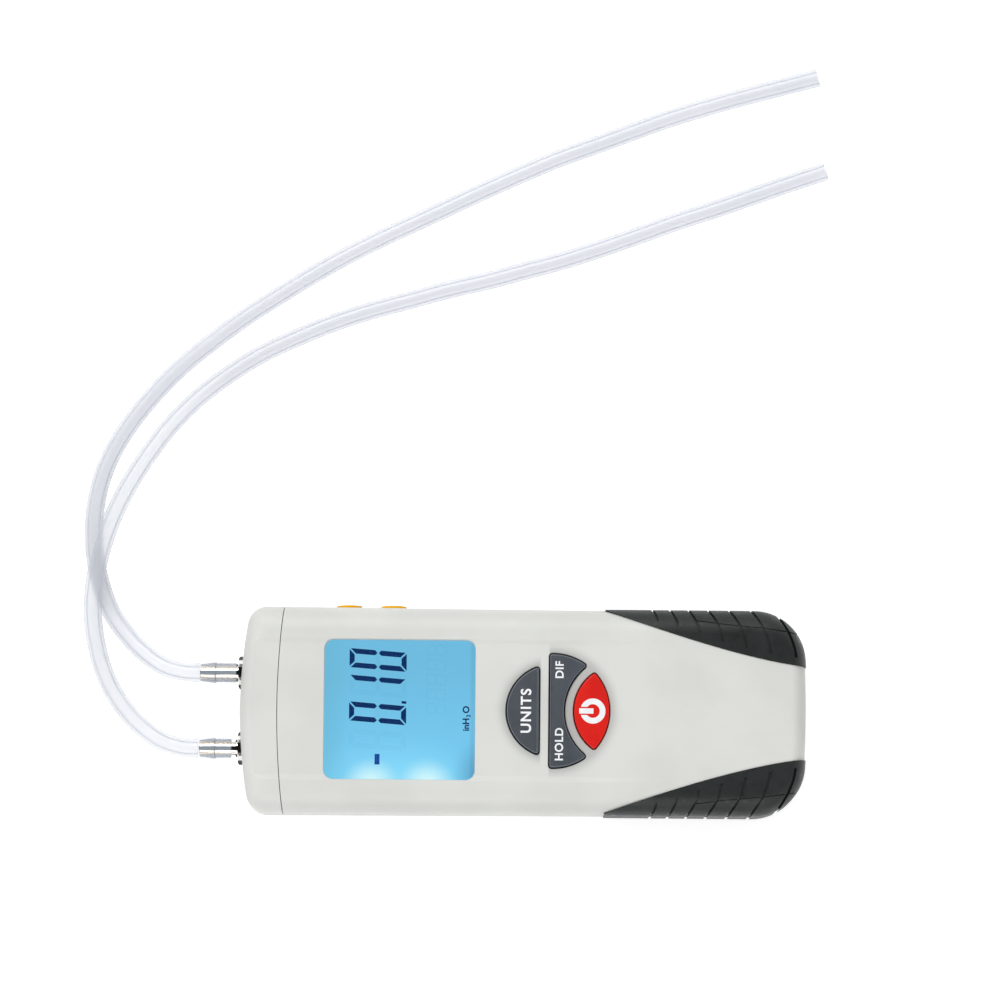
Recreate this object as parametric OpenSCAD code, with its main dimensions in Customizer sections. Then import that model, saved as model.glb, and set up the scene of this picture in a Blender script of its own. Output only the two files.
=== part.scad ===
// Handheld digital manometer with two barbed ports and their clear hoses.
// The origin is the centre of the flat back face: +X points to the tail, +Z out of the face.

/* [Housing] */
// Room between the display holder and the outside of each side wall at the head
side_room = 8.85; // [8.5:0.05:10]
// How much narrower the housing is from the keypad to the tail
narrowing = 1; // [0:0.1:1.5]
// Length over which the housing narrows
taper_l = 112; // [90:1:130]
// Room between the battery bay and the inside of the face
face_room = 4; // [3.5:0.1:6]
// Thickness of the moulded walls
wall = 2.2; // [1.8:0.1:2.5]
// Depth of the front shell from the face down to the plane where the shells meet
front_depth = 20; // [19.5:0.5:22]
// Radius of the bowed head end
head_bow_r = 170; // [140:5:220]
// Radius of the bowed tail end
tail_bow_r = 300; // [240:10:400]
// Radius of the corners at the head
head_corner_r = 6.5; // [5:0.5:8]
// Radius of the corners at the tail
tail_corner_r = 16.5; // [14:0.5:18]
// Height of the rounded shoulder round the face
shoulder_h = 7.5; // [6:0.5:8.5]
// Width of the shoulder along the sides
shoulder_side = 8; // [6:0.5:9]
// Width of the shoulder at the head
shoulder_head = 6; // [5:0.5:7]
// Width of the shoulder at the tail
shoulder_tail = 4.5; // [3.5:0.5:5.5]
// Radius of the edge round the back
back_round = 3; // [2:0.5:4]

/* [Face recess] */
// Depth of the recess along the face
recess_depth = 0.8; // [0.6:0.1:1]
// Distance from the window to the top of the step at each side of the recess
recess_margin = 0.7; // [0.5:0.1:1]
// Width of the soft step at each side of the recess
recess_step = 2; // [1.5:0.1:2.4]
// Distance from the centre of the keys back to where the recess starts to fade
recess_fade_start = 2.5; // [0:0.5:5]
// Length over which the recess fades out
recess_fade_l = 38; // [30:1:46]

/* [Head cap] */
// Length of the head cap along the middle line
cap_l = 12; // [11:0.5:14]
// Radius of the curved seam behind the head cap
seam_bow_r = 266; // [220:2:320]
// Width of the seam
seam_gap = 0.25; // [0.2:0.05:0.3]
// Reach of the collar past the seam
collar_reach = 3; // [2.5:0.5:3.5]
// Thickness of the collar
collar_t = 1.2; // [1:0.1:1.5]

/* [Display] */
// Distance from the seam to the display window
window_gap = 15.3; // [14:0.1:18]
// Length of the display window along the housing
window_l = 48.2; // [42:0.1:56]
// Width of the display window
window_w = 44.6; // [42:0.1:50]
// Corner radius of the display window
window_r = 2.9; // [2:0.1:4]
// Thickness of the display window
window_t = 1.4; // [1.2:0.1:1.6]
// How far the display glass reaches past the window at each end
lcd_margin_l = 1.2; // [1:0.1:1.5]
// How far the display glass reaches past the window at each side
lcd_margin_w = 0.9; // [0.7:0.1:1.2]
// Thickness of the display glass
lcd_t = 2.2; // [1.8:0.1:2.6]
// Thickness of the backlight guide
guide_t = 3.4; // [3:0.1:4]

/* [Keypad] */
// Distance from the window to the keys
window_to_keys = 10.3; // [9:0.1:14]
// Outer radius of the key cluster
cluster_r = 18.2; // [17.6:0.1:20]
// Radius of the half disc key
units_r = 14.7; // [13:0.1:16]
// Distance of the half disc's straight side ahead of the centre
units_flat = 4.4; // [3.7:0.1:4.6]
// Distance of the rocker's straight side ahead of the centre
rocker_flat = 0.9; // [0.8:0.1:1.2]
// Distance behind the centre of the point about which the inner arcs run
arc_back = 21.7; // [21.4:0.1:22]
// Radius of the rocker's hollow side
rocker_hollow_r = 18.1; // [17.8:0.1:18.2]
// Radius of the power key's front side
power_front_r = 14.8; // [14.4:0.1:15]
// Radius of the rounded corners of the keys
key_corner_r = 0.7; // [0.5:0.1:1]
// Gap between a key and its opening
key_gap = 0.35; // [0.3:0.05:0.4]
// Height of a key's edge over the face
key_proud = 0.7; // [0.5:0.1:0.9]
// Radius of the domed key tops
key_dome_r = 150; // [120:5:250]
// Travel of a key
key_travel = 0.7; // [0.5:0.1:0.9]

/* [Side buttons] */
// Distance from the middle of the window to the first side button
side_button_ahead = 16.6; // [15:0.1:18]
// Distance between the side buttons
side_button_pitch = 14.3; // [12:0.1:18]
// Radius of a side button
side_button_r = 4.1; // [3.5:0.1:4.2]
// How far a side button stands proud of the wall
side_button_proud = 1.05; // [0.7:0.05:1.3]
// Height of the side button's domed end
side_button_dome = 0.35; // [0.3:0.05:0.6]
// Travel of a side button
side_button_travel = 0.6; // [0.4:0.1:0.7]

/* [Ports] */
// Distance between the two ports
port_pitch = 24.4; // [22:0.1:27]
// Height of the ports over the back face
port_z = 14; // [12.5:0.1:15]
// Radius of the threaded shank
shank_r = 3; // [2.8:0.1:3.2]
// Depth of the port's seat at the middle of the head
port_seat_depth = 1; // [0.9:0.1:1.1]
// Radius over the corners of the nuts
nut_r = 5.3; // [4.8:0.05:5.6]
// Thickness of a nut
nut_t = 1.8; // [1.5:0.1:2]
// Radius of the nozzle's stem
stem_r = 2.2; // [2:0.05:2.3]
// How much the barb stands out from the stem
barb_rise = 0.2; // [0.1:0.05:0.3]
// Radius of the barb's tip
barb_tip_r = 1.9; // [1.6:0.05:2]
// Length of the barb
barb_l = 5; // [4:0.1:5.5]
// Reach of the nozzle from its seat to the tip
nozzle_reach = 14.1; // [14:0.1:14.2]
// Radius of the bore through the nozzle
nozzle_bore_r = 1.1; // [0.9:0.1:1.2]

/* [Hoses] */
// Outer radius of a hose
hose_r = 3; // [2.8:0.05:3.1]
// Radius of the hose's bore
hose_bore_r = 2; // [1.8:0.05:2.2]
// Straight length at the free end of a hose
hose_tail_l = 12; // [10:0.5:14]

/* [Grips] */
// Length of a corner grip from the tail
grip_l = 64.7; // [60:0.5:70]
// Width of shell between a grip and the battery door at the tail
grip_web = 0.8; // [0.6:0.1:2]
// How far a grip stands proud of the housing
grip_proud = 0.4; // [0.3:0.05:0.6]
// Depth to which a grip is let into the housing
grip_inset = 1.1; // [0.8:0.1:1.2]
// Number of grooves across a grip
groove_count = 7; // [5:1:7]
// Width of a groove
groove_w = 0.9; // [0.7:0.1:1.1]
// Depth of a groove
groove_depth = 0.55; // [0.4:0.05:0.65]

/* [Circuit board] */
// Thickness of the board
board_t = 1.6; // [1.2:0.1:2]

/* [Battery] */
// Length of the battery's case
battery_l = 46; // [44:0.1:50]
// Width of the battery
battery_w = 26.5; // [24:0.1:28]
// Thickness of the battery
battery_t = 17.5; // [16:0.1:19]
// Distance from the tail to the battery
battery_from_tail = 5.2; // [5.1:0.1:6]

/* [Hidden] */
$fn = 96;

// Overrun of a cut past the solid that it cuts
over = 1;
// Gap between a moving piece and what it passes
run_gap = 0.3;
// Gap round a piece that is only laid in place
seat_gap = 0.1;
// Overlap of two shapes that make one moulding
fuse = 0.2;
// Radial gap of a screw or nozzle in its thread
thread_gap = 0.02;
// Radial gap of a pin in its bore
pin_gap = 0.05;

// Battery bay in height: door flange, battery and roof
flange_h = 1;
bay_wall = 1.3;
bay_roof_gap = 0.4;
door_flange_z = wall + run_gap;
door_top = door_flange_z + flange_h;
battery_z = door_top + run_gap;
bay_roof = battery_z + battery_t + bay_roof_gap;

// Battery in length: terminals, snap and the room for the leads
terminal_l = 2.4;
snap_t = 2.2;
lead_room = 2.5;
bay_l = bay_wall + run_gap + snap_t + seat_gap + terminal_l + battery_l + battery_from_tail;

// Sizes of the housing that follow from what it holds
holder_wall = 1.1;
board_tail_room = 3.1;
lcd_l = window_l + 2 * lcd_margin_l;
lcd_w = window_w + 2 * lcd_margin_w;
body_l = cap_l + window_gap + window_l + window_to_keys + units_r + cluster_r + board_tail_room
    + lead_room + bay_l;
head_w = lcd_w + 2 * (seat_gap + holder_wall + side_room);
tail_w = head_w - narrowing;
body_h = bay_roof + bay_wall + face_room + wall + recess_depth;
recess_w = window_w + 2 * recess_margin;

// Ends of the housing
head_x = -body_l / 2;
tail_x = body_l / 2;
// Where the narrowing stops
knee_x = head_x + taper_l;
// Smallest corner radius of an inner outline
least_r = 1;
// Segments of the bowed ends, of the corners, of the shoulder and of the back edge
bow_n = 8;
corner_n = 6;
shoulder_n = 5;
heel_n = 3;

// Levels of the face and of the shell's inner side under it, and of the plane between the shells
face_z = body_h - recess_depth;
inner_z = face_z - wall;
parting_z = body_h - front_depth;

// Places along the housing
seam_x = head_x + cap_l;
window_x = seam_x + window_gap + window_l / 2;
keys_x = window_x + window_l / 2 + window_to_keys + units_r;

// Half width of the housing at a place along it
function half_w(x) = head_w / 2 - (head_w - tail_w) / 2 * min(max((x - head_x) / taper_l, 0), 1);

// Vector of length 1
function unit(v) = v / norm(v);

// Points of an arc from angle a0 to a1, from the given step on
function arc(c, r, a0, a1, n, first = 1) =
    [for (i = [first : n]) let (a = a0 + (a1 - a0) * i / n) c + r * [cos(a), sin(a)]];

// Outline of the housing, drawn in by these insets at its sides, head and tail
function outline(side, head, tail) =
    let (
        w = head_w / 2 - side,
        tail_r = max(tail_corner_r - side, least_r),
        tail_bow = tail_bow_r - tail,
        tail_c = tail_x - tail_bow_r,
        tail_f = tail_c + sqrt(pow(tail_bow - tail_r, 2) - pow(w - tail_r, 2)),
        tail_a = atan2(w - tail_r, tail_f - tail_c),
        head_r = max(head_corner_r - side, least_r),
        head_bow = head_bow_r - head,
        head_c = head_x + head_bow_r,
        head_f = head_c - sqrt(pow(head_bow - head_r, 2) - pow(w - head_r, 2)),
        head_a = atan2(w - head_r, head_f - head_c),
        points = concat(
            arc([tail_c, 0], tail_bow, -tail_a, tail_a, bow_n),
            arc([tail_f, w - tail_r], tail_r, tail_a, 90, corner_n),
            [[knee_x, w]],
            arc([head_f, w - head_r], head_r, 90, head_a, corner_n, 0),
            arc([head_c, 0], head_bow, head_a, 360 - head_a, bow_n),
            arc([head_f, head_r - w], head_r, 360 - head_a, 270, corner_n),
            [[knee_x, -w]],
            arc([tail_f, tail_r - w], tail_r, 270, 360 - tail_a, corner_n, 0)
        )
    )
    [for (p = points) [p[0], p[1] * 2 * half_w(p[0]) / head_w]];

// Levels of the rounded shoulder under height top, and of the back edge over height bottom
function shoulder(top, inset) =
    [for (i = [0 : shoulder_n])
        let (s = sin(90 * i / shoulder_n), c = 1 - cos(90 * i / shoulder_n))
        [top - shoulder_h * (1 - s), shoulder_side * c + inset, shoulder_head * c + inset,
         shoulder_tail * c + inset]];
function heel(bottom, inset) =
    [for (i = [0 : heel_n])
        let (s = 1 - cos(90 * i / heel_n), c = 1 - sin(90 * i / heel_n))
        [bottom + back_round * s, back_round * c + inset, back_round * c + inset,
         back_round * c + inset]];

// Solid through rings of points, each seen anticlockwise from the last ring's side
module loft(rings) {
    n = len(rings[0]);
    last = (len(rings) - 1) * n;
    sides = [for (k = [0 : len(rings) - 2]) for (i = [0 : n - 1])
        let (a = k * n + i, b = k * n + (i + 1) % n)
        each [[a, a + n, b], [b, a + n, b + n]]];
    ends = [[for (i = [0 : n - 1]) i], [for (i = [n - 1 : -1 : 0]) last + i]];
    polyhedron([for (r = rings) each r], concat(sides, ends));
}

// Solid inside the housing's outline between given levels
module slices(levels) {
    loft([for (s = levels) [for (p = outline(s[1], s[2], s[3])) [p[0], p[1], s[0]]]]);
}

// Whole housing form between two heights, drawn in by an inset
module form(bottom, top, inset) {
    slices(concat(heel(bottom, inset), shoulder(top, inset)));
}

// Block from one corner to another
module block(a, b) {
    translate(a) cube(b - a);
}

// Block that is the same on both sides of the middle line
module middle_block(x0, x1, half, z0, z1) {
    block([x0, -half, z0], [x1, half, z1]);
}

// Upright plate with round corners
module plate(x, l, w, r, z0, z1) {
    cx = l / 2 - r;
    cy = w / 2 - r;
    points = concat(arc([cx, cy], r, 0, 90, corner_n, 0), arc([-cx, cy], r, 90, 180, corner_n, 0),
        arc([-cx, -cy], r, 180, 270, corner_n, 0), arc([cx, -cy], r, 270, 360, corner_n, 0));
    translate([x, 0, z0]) linear_extrude(z1 - z0) polygon(points);
}

// Upright cylinder between two heights
module post(x, y, r, z0, z1) {
    translate([x, y, z0]) cylinder(r = r, h = z1 - z0);
}

// Everything on both sides of the middle line
module both_sides() {
    children();
    mirror([0, 1, 0]) children();
}

// What lies behind the seam between head cap and shells
module behind_seam(shift) {
    post(seam_x + seam_bow_r, 0, seam_bow_r - shift, -over, body_h + over);
}

// Recess along the face, with a floor that climbs out near the keypad
module face_recess() {
    x_fade = keys_x + recess_fade_start;
    slope = recess_step / recess_depth;
    top_z = body_h + over;
    top_half = recess_w / 2 + slope * over;
    floors = [[head_x - over, face_z], [x_fade, face_z], [x_fade + recess_fade_l, body_h]];
    loft([for (f = floors)
        let (half = top_half - slope * (top_z - f[1]))
        [[f[0], -half, f[1]], [f[0], half, f[1]], [f[0], top_half, top_z], [f[0], -top_half, top_z]]]);
}

// Grips: a corner region on the tail, bounded inside by a curve
door_side = 0.65;
door_w = battery_w + 2 * door_side;
grip_gap = door_w + 2 * (run_gap + grip_web);
grip_x = tail_x - grip_l;
grip_n = 8;
grip_sweep = 1.35;
function grip_y(share) =
    grip_gap / 2 + (tail_w - grip_gap) / 2 * pow(1 - share, grip_sweep);
function grip_inner_y(x) = grip_y(min(max((x - grip_x) / grip_l, 0), 1));
module grip_region(shift) {
    edge = [for (i = [0 : grip_n]) [grip_x + grip_l * i / grip_n, grip_y(i / grip_n) - shift]];
    outside = tail_w / 2 + over + grip_proud;
    far = tail_x + over + grip_proud;
    points = concat(edge, [[far, grip_y(1) - shift], [far, outside], [grip_x - shift, outside]]);
    translate([0, 0, -over]) linear_extrude(body_h + 2 * over + grip_proud) polygon(points);
}
module grip_pocket() {
    d = grip_inset + seat_gap;
    difference() {
        grip_region(seat_gap);
        form(d, body_h - d, d);
    }
}

// Grooves across a grip, which lean towards the tail most at the side wall
groove_start_share = 0.2235;
groove_pitch_share = 0.0842;
groove_spread_share = 0.00275;
groove_lean = 0.48;
groove_bend = 1.75;
groove_land = 2.5;
groove_n = 5;
module groove(i) {
    x0 = grip_x + grip_l * (groove_start_share + groove_pitch_share * i + groove_spread_share * i * i);
    y0 = tail_w / 2 + over;
    y1 = grip_inner_y(x0 + groove_lean * (y0 - grip_inner_y(x0))) + groove_land;
    line = [for (k = [0 : groove_n])
        let (s = k / groove_n, lean = groove_lean * s * (groove_bend - (groove_bend - 1) * s))
        [x0 + (y0 - y1) * lean, y0 + (y1 - y0) * s]];
    points = concat([for (p = line) p - [groove_w / 2, 0]],
        [for (k = [groove_n : -1 : 0]) line[k] + [groove_w / 2, 0]]);
    translate([0, 0, -over]) linear_extrude(body_h + 2 * over) polygon(points);
}
module grip() {
    color([0.22, 0.23, 0.24]) difference() {
        intersection() {
            grip_region(0);
            difference() {
                form(0, body_h + grip_proud, -grip_proud);
                form(grip_inset, body_h - grip_inset, grip_inset);
            }
        }
        difference() {
            for (i = [0 : groove_count - 1]) groove(i);
            form(groove_depth, body_h + grip_proud - groove_depth, groove_depth - grip_proud);
        }
    }
}
module grip_upper() {
    grip();
}
module grip_lower() {
    mirror([0, 1, 0]) grip();
}

// Screws and the bosses that they hold
screw_r = 1.5;
screw_head_r = 2.8;
screw_head_t = 2;
screw_head_z = 3;
screw_l = 16;
screw_tip_z = screw_head_z + screw_l;
boss_r = 3.4;
boss_from_head = 20;
boss_from_tail = 19;
head_boss_x = head_x + boss_from_head;
boss_from_side = 7.25;
tail_boss_from_side = 9.25;
head_boss_y = head_w / 2 - boss_from_side;
tail_boss_x = tail_x - boss_from_tail;
tail_boss_y = tail_w / 2 - tail_boss_from_side;
screw_hole_gap = 0.15;
screw_head_gap = 0.2;
module at_bosses() {
    for (side = [-1, 1]) {
        translate([head_boss_x, side * head_boss_y, 0]) children();
        translate([tail_boss_x, side * tail_boss_y, 0]) children();
    }
}
module housing_screws() {
    color([0.6, 0.6, 0.62]) at_bosses() {
        post(0, 0, screw_head_r, screw_head_z, screw_head_z + screw_head_t);
        post(0, 0, screw_r, screw_head_z + screw_head_t - fuse, screw_tip_z);
    }
}

// Circuit board and the standoffs that it hangs on
board_lead = 8.1;
guide_gap = 0.8;
board_gap = 0.4;
holder_top = inner_z - run_gap;
lcd_top = holder_top - seat_gap;
lcd_x0 = window_x - lcd_l / 2;
lcd_x1 = window_x + lcd_l / 2;
board_x0 = lcd_x0 - board_lead;
board_x1 = keys_x + cluster_r + board_tail_room;
board_w = 2 * (head_boss_y - boss_r - board_gap);
board_top = lcd_top - lcd_t - guide_gap - guide_t;
board_z = board_top - board_t;
board_screw_r = 1;
board_screw_head_r = 1.9;
board_screw_head_t = 1.4;
board_screw_l = 6.4;
board_screw_tip_z = board_z + board_screw_l;
standoff_r = 2.6;
standoff_margin = 3;
standoff_edge = 2.8;
standoff_head_y = board_w / 2 - 2 * standoff_edge;
standoff_tail_y = board_w / 2 - standoff_edge;
board_hole_gap = 0.15;
module at_standoffs() {
    for (side = [-1, 1]) {
        translate([board_x0 + standoff_margin, side * standoff_head_y, 0]) children();
        translate([board_x1 - standoff_margin, side * standoff_tail_y, 0]) children();
    }
}
module main_board() {
    color([0.1, 0.38, 0.24]) difference() {
        middle_block(board_x0, board_x1, board_w / 2, board_z, board_top);
        at_standoffs() post(0, 0, board_screw_r + board_hole_gap, board_z - over, board_top + over);
    }
}
module board_screws() {
    color([0.7, 0.7, 0.72]) at_standoffs() {
        post(0, 0, board_screw_head_r, board_z - board_screw_head_t, board_z);
        post(0, 0, board_screw_r, board_z - fuse, board_screw_tip_z);
    }
}

// Display window, glass, holder, connector strips and backlight
window_sunk = 0.1;
window_top = face_z - window_sunk;
window_ledge = 1.4;
module display_window() {
    color([0.6, 0.85, 0.95, 0.6])
        plate(window_x, window_l, window_w, window_r, window_top - window_t, window_top);
}
module lcd_glass() {
    color([0.45, 0.75, 0.85])
        middle_block(lcd_x0, lcd_x1, lcd_w / 2, lcd_top - lcd_t, lcd_top);
}
strip_w = 1.8;
strip_inset = 0.4;
strip_end = 3.2;
strip_half = lcd_w / 2 - strip_end;
bar_w = 1;
bar_gap = 0.2;
guide_inset = strip_inset + strip_w + bar_w + 2 * bar_gap;
module lcd_connector_strips() {
    color([0.85, 0.5, 0.55]) {
        middle_block(lcd_x0 + strip_inset, lcd_x0 + strip_inset + strip_w, strip_half, board_top,
            lcd_top - lcd_t);
        middle_block(lcd_x1 - strip_inset - strip_w, lcd_x1 - strip_inset, strip_half, board_top,
            lcd_top - lcd_t);
    }
}
module lcd_holder() {
    inner_half = lcd_w / 2 + seat_gap;
    inset = strip_inset + strip_w + bar_gap;
    color([0.92, 0.92, 0.9]) {
        difference() {
            middle_block(lcd_x0 - seat_gap - holder_wall, lcd_x1 + seat_gap + holder_wall,
                inner_half + holder_wall, board_top, holder_top);
            middle_block(lcd_x0 - seat_gap, lcd_x1 + seat_gap, inner_half, board_top - over,
                holder_top + over);
        }
        for (x = [lcd_x0 + inset, lcd_x1 - inset - bar_w])
            middle_block(x, x + bar_w, inner_half + fuse, board_top, lcd_top - lcd_t - seat_gap);
    }
}
guide_side = 1.6;
guide_half = lcd_w / 2 - guide_side;
led_l = 3;
led_w = 1.6;
led_h = 2.6;
led_gap = 0.2;
led_place_share = 0.19;
module at_leds() {
    for (side = [-1, 1])
        translate([window_x + side * led_place_share * lcd_l, -guide_half + led_w + led_gap, 0]) children();
}
module backlight_guide() {
    color([0.9, 0.97, 1]) difference() {
        middle_block(lcd_x0 + guide_inset, lcd_x1 - guide_inset, guide_half, board_top,
            board_top + guide_t);
        at_leds() block([-led_l / 2 - led_gap, -led_w - led_gap - over, board_top - over],
            [led_l / 2 + led_gap, led_gap, board_top + led_h + led_gap]);
    }
}
module backlight_leds() {
    color([0.95, 0.95, 0.75]) at_leds()
        block([-led_l / 2, -led_w, board_top], [led_l / 2, 0, board_top + led_h]);
}

// Controller chip under the board
chip_l = 12;
chip_t = 1.7;
chip_place_share = 0.29;
module controller_chip() {
    x = window_x + chip_place_share * window_l;
    color([0.12, 0.12, 0.13])
        middle_block(x - chip_l / 2, x + chip_l / 2, chip_l / 2, board_z - chip_t, board_z);
}

// Key cluster
arc_x = keys_x + arc_back;
key_bottom = inner_z - run_gap;
key_edge_z = face_z + key_proud;
key_dome_rise = pow(cluster_r, 2) / (2 * key_dome_r);
flange_t = 1;
flange_reach = 0.8;
stem_w = 2.4;
switch_body = 6.2;
switch_body_h = 3.1;
switch_plunger_r = 1.7;
switch_top = key_bottom - flange_t - key_travel - run_gap - 2 * seat_gap;
// Where each key presses its switch, as shares of the radii about the centre of the cluster
units_press_share = 0.64;
power_press_share = 0.68;
rocker_press_share = 0.22;
rocker_press_y_share = 0.7;
units_press_x = keys_x - units_press_share * units_r;
rocker_press_x = keys_x + rocker_press_share * cluster_r;
rocker_press_y = rocker_press_y_share * cluster_r;
power_press_x = keys_x + power_press_share * cluster_r;
// Direction from one point to another
function toward(from, to) = unit(to - from);
// Centre of a corner that lies r1 from the cluster's centre and r2 from the inner arcs' centre
function corner_between(r1, r2) =
    let (x = (r1 * r1 - r2 * r2 + arc_back * arc_back) / (2 * arc_back))
    [keys_x + x, sqrt(r1 * r1 - x * x)];
// Centre of a corner at x that lies r1 from the cluster's centre
function corner_at(x, r1) = [x, sqrt(r1 * r1 - pow(x - keys_x, 2))];
keys_c = [keys_x, 0];
arc_c = [arc_x, 0];
units_corner = corner_at(keys_x - units_flat - key_corner_r, units_r - key_corner_r);
power_corner = corner_between(cluster_r - key_corner_r, power_front_r - key_corner_r);
rocker_front_corner = corner_at(keys_x - rocker_flat + key_corner_r, cluster_r - key_corner_r);
rocker_tip_corner = corner_between(cluster_r - key_corner_r, rocker_hollow_r + key_corner_r);
// The rounds are a hair larger than the corners that they fill, so that they cross the sides
corner_bite = 0.02;
// Rounds corners of an upright solid on both sides of the middle line. Each corner is the centre of
// its round and the two directions from there to where the round meets the sides.
module rounded(corners, grow, z0, z1) {
    r = key_corner_r + grow;
    difference() {
        children();
        both_sides() for (c = corners) {
            away = 4 * r * unit(c[1] + c[2]);
            a = c[0] + r * c[1];
            b = c[0] + r * c[2];
            translate([0, 0, z0 - over]) linear_extrude(z1 - z0 + 2 * over)
                polygon([a, b, b + away, a + away]);
        }
    }
    both_sides() for (c = corners) post(c[0][0], c[0][1], r + corner_bite, z0, z1);
}
module units_outline(grow, z0, z1) {
    rounded([[units_corner, [1, 0], toward(keys_c, units_corner)]], grow, z0, z1) intersection() {
        post(keys_x, 0, units_r + grow, z0, z1);
        middle_block(keys_x - units_r - grow - over, keys_x - units_flat + grow,
            units_r + grow + over, z0, z1);
    }
}
module power_outline(grow, z0, z1) {
    rounded([[power_corner, toward(keys_c, power_corner), toward(arc_c, power_corner)]],
        grow, z0, z1) intersection() {
        post(arc_x, 0, power_front_r + grow, z0, z1);
        post(keys_x, 0, cluster_r + grow, z0, z1);
    }
}
module rocker_outline(grow, z0, z1) {
    rounded([[rocker_front_corner, [-1, 0], toward(keys_c, rocker_front_corner)],
        [rocker_tip_corner, toward(keys_c, rocker_tip_corner), toward(rocker_tip_corner, arc_c)]],
        grow, z0, z1) difference() {
        intersection() {
            post(keys_x, 0, cluster_r + grow, z0, z1);
            middle_block(keys_x - rocker_flat - grow, keys_x + cluster_r + grow,
                cluster_r + grow + over, z0, z1);
        }
        post(arc_x, 0, rocker_hollow_r - grow, z0 - over, z1 + over);
    }
}
module key_openings() {
    z0 = inner_z - over;
    z1 = body_h + over;
    units_outline(key_gap, z0, z1);
    rocker_outline(key_gap, z0, z1);
    power_outline(key_gap, z0, z1);
}
// A large ball that rounds the key tops about the middle of the cluster
module key_dome() {
    translate([keys_x, 0, key_edge_z + key_dome_rise - key_dome_r]) sphere(r = key_dome_r, $fn = 200);
}
module key_units() {
    color([0.3, 0.33, 0.37]) {
        intersection() {
            units_outline(0, key_bottom - flange_t, body_h + over);
            key_dome();
        }
        units_outline(flange_reach, key_bottom - flange_t, key_bottom);
        post(units_press_x, 0, stem_w, key_bottom - flange_t - seat_gap, key_bottom);
    }
}
module key_power() {
    color([0.85, 0.1, 0.08]) {
        intersection() {
            power_outline(0, key_bottom - flange_t, body_h + over);
            key_dome();
        }
        power_outline(flange_reach, key_bottom - flange_t, key_bottom);
        post(power_press_x, 0, stem_w, key_bottom - flange_t - seat_gap, key_bottom);
    }
}

// Rocker pivot: a pin through the rocker in two lugs under the face
pivot_r = 1;
pivot_drop = 1.8;
pivot_z = inner_z - pivot_drop;
lug_t = 1.15;
lug_half = 1.9;
rocker_sink = 0.6;
rocker_bottom = inner_z - rocker_sink;
rocker_x0 = keys_x - rocker_flat;
rocker_x1 = arc_x - rocker_hollow_r;
module pivot_lugs() {
    lug_bottom = pivot_z - pivot_r - lug_t;
    difference() {
        union() {
            middle_block(rocker_x0 - run_gap - lug_t, rocker_x0 - run_gap, lug_half, lug_bottom,
                inner_z + fuse);
            middle_block(rocker_x1 + run_gap, rocker_x1 + run_gap + lug_t, lug_half, lug_bottom,
                inner_z + fuse);
        }
        translate([rocker_x0 - run_gap - lug_t - over, 0, pivot_z]) rotate([0, 90, 0])
            cylinder(r = pivot_r + pin_gap, h = rocker_x1 - rocker_x0 + 2 * (run_gap + lug_t + over));
    }
}
module key_hold_dif() {
    color([0.3, 0.33, 0.37]) {
        intersection() {
            rocker_outline(0, rocker_bottom, body_h + over);
            key_dome();
        }
        middle_block(rocker_x0, rocker_x1, lug_half, pivot_z - pivot_r, rocker_bottom + fuse);
        translate([rocker_x0 - run_gap - lug_t, 0, pivot_z]) rotate([0, 90, 0])
            cylinder(r = pivot_r, h = rocker_x1 - rocker_x0 + 2 * (run_gap + lug_t));
        for (side = [-1, 1])
            post(rocker_press_x, side * rocker_press_y, stem_w, key_bottom - flange_t,
                rocker_bottom + fuse);
    }
}
module key_switch(x, y) {
    translate([x, y, 0]) {
        block([-switch_body / 2, -switch_body / 2, board_top],
            [switch_body / 2, switch_body / 2, board_top + switch_body_h]);
        post(0, 0, switch_plunger_r, board_top + switch_body_h - fuse, switch_top);
    }
}
module key_switches() {
    color([0.2, 0.2, 0.22]) {
        key_switch(units_press_x, 0);
        key_switch(power_press_x, 0);
        key_switch(rocker_press_x, rocker_press_y);
        key_switch(rocker_press_x, -rocker_press_y);
    }
}

// Side buttons in the upper wall
side_a_x = window_x - side_button_ahead;
side_b_x = side_a_x + side_button_pitch;
side_switch_h = 5.2;
side_button_z = board_z - side_switch_h / 2;
side_gap = 0.25;
side_flange_r = 4.9;
side_flange_t = 1.2;
side_stem_r = 1.8;
side_switch_depth = 5;
side_switch_half = 3.1;
side_switch_top = board_w / 2 - seat_gap;
side_plunger_r = 1.5;
side_plunger_l = 3;
module toward_wall(x, y0) {
    translate([x, y0, side_button_z]) rotate([-90, 0, 0]) children();
}
module side_button(x) {
    wall_in = half_w(x) - wall;
    flange_y = wall_in - run_gap - side_flange_t;
    end_y = half_w(x) + side_button_proud;
    tip_y = side_switch_top + side_plunger_l + side_button_travel + run_gap;
    dome_r = (pow(side_button_r, 2) + pow(side_button_dome, 2)) / (2 * side_button_dome);
    color([0.94, 0.66, 0.1]) {
        intersection() {
            toward_wall(x, flange_y) cylinder(r = side_button_r, h = end_y - flange_y);
            toward_wall(x, end_y - dome_r) sphere(r = dome_r);
        }
        toward_wall(x, flange_y) cylinder(r = side_flange_r, h = side_flange_t);
        toward_wall(x, tip_y) cylinder(r = side_stem_r, h = flange_y - tip_y + fuse);
    }
}
module side_button_a() {
    side_button(side_a_x);
}
module side_button_b() {
    side_button(side_b_x);
}
module side_switches() {
    color([0.2, 0.2, 0.22]) for (x = [side_a_x, side_b_x]) {
        block([x - side_switch_half, side_switch_top - side_switch_depth, board_z - side_switch_h],
            [x + side_switch_half, side_switch_top, board_z]);
        toward_wall(x, side_switch_top - fuse)
            cylinder(r = side_plunger_r, h = side_plunger_l + fuse);
    }
}
module side_button_holes() {
    for (x = [side_a_x, side_b_x])
        toward_wall(x, half_w(x) - wall - over)
            cylinder(r = side_button_r + side_gap, h = wall + 2 * over);
}

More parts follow.
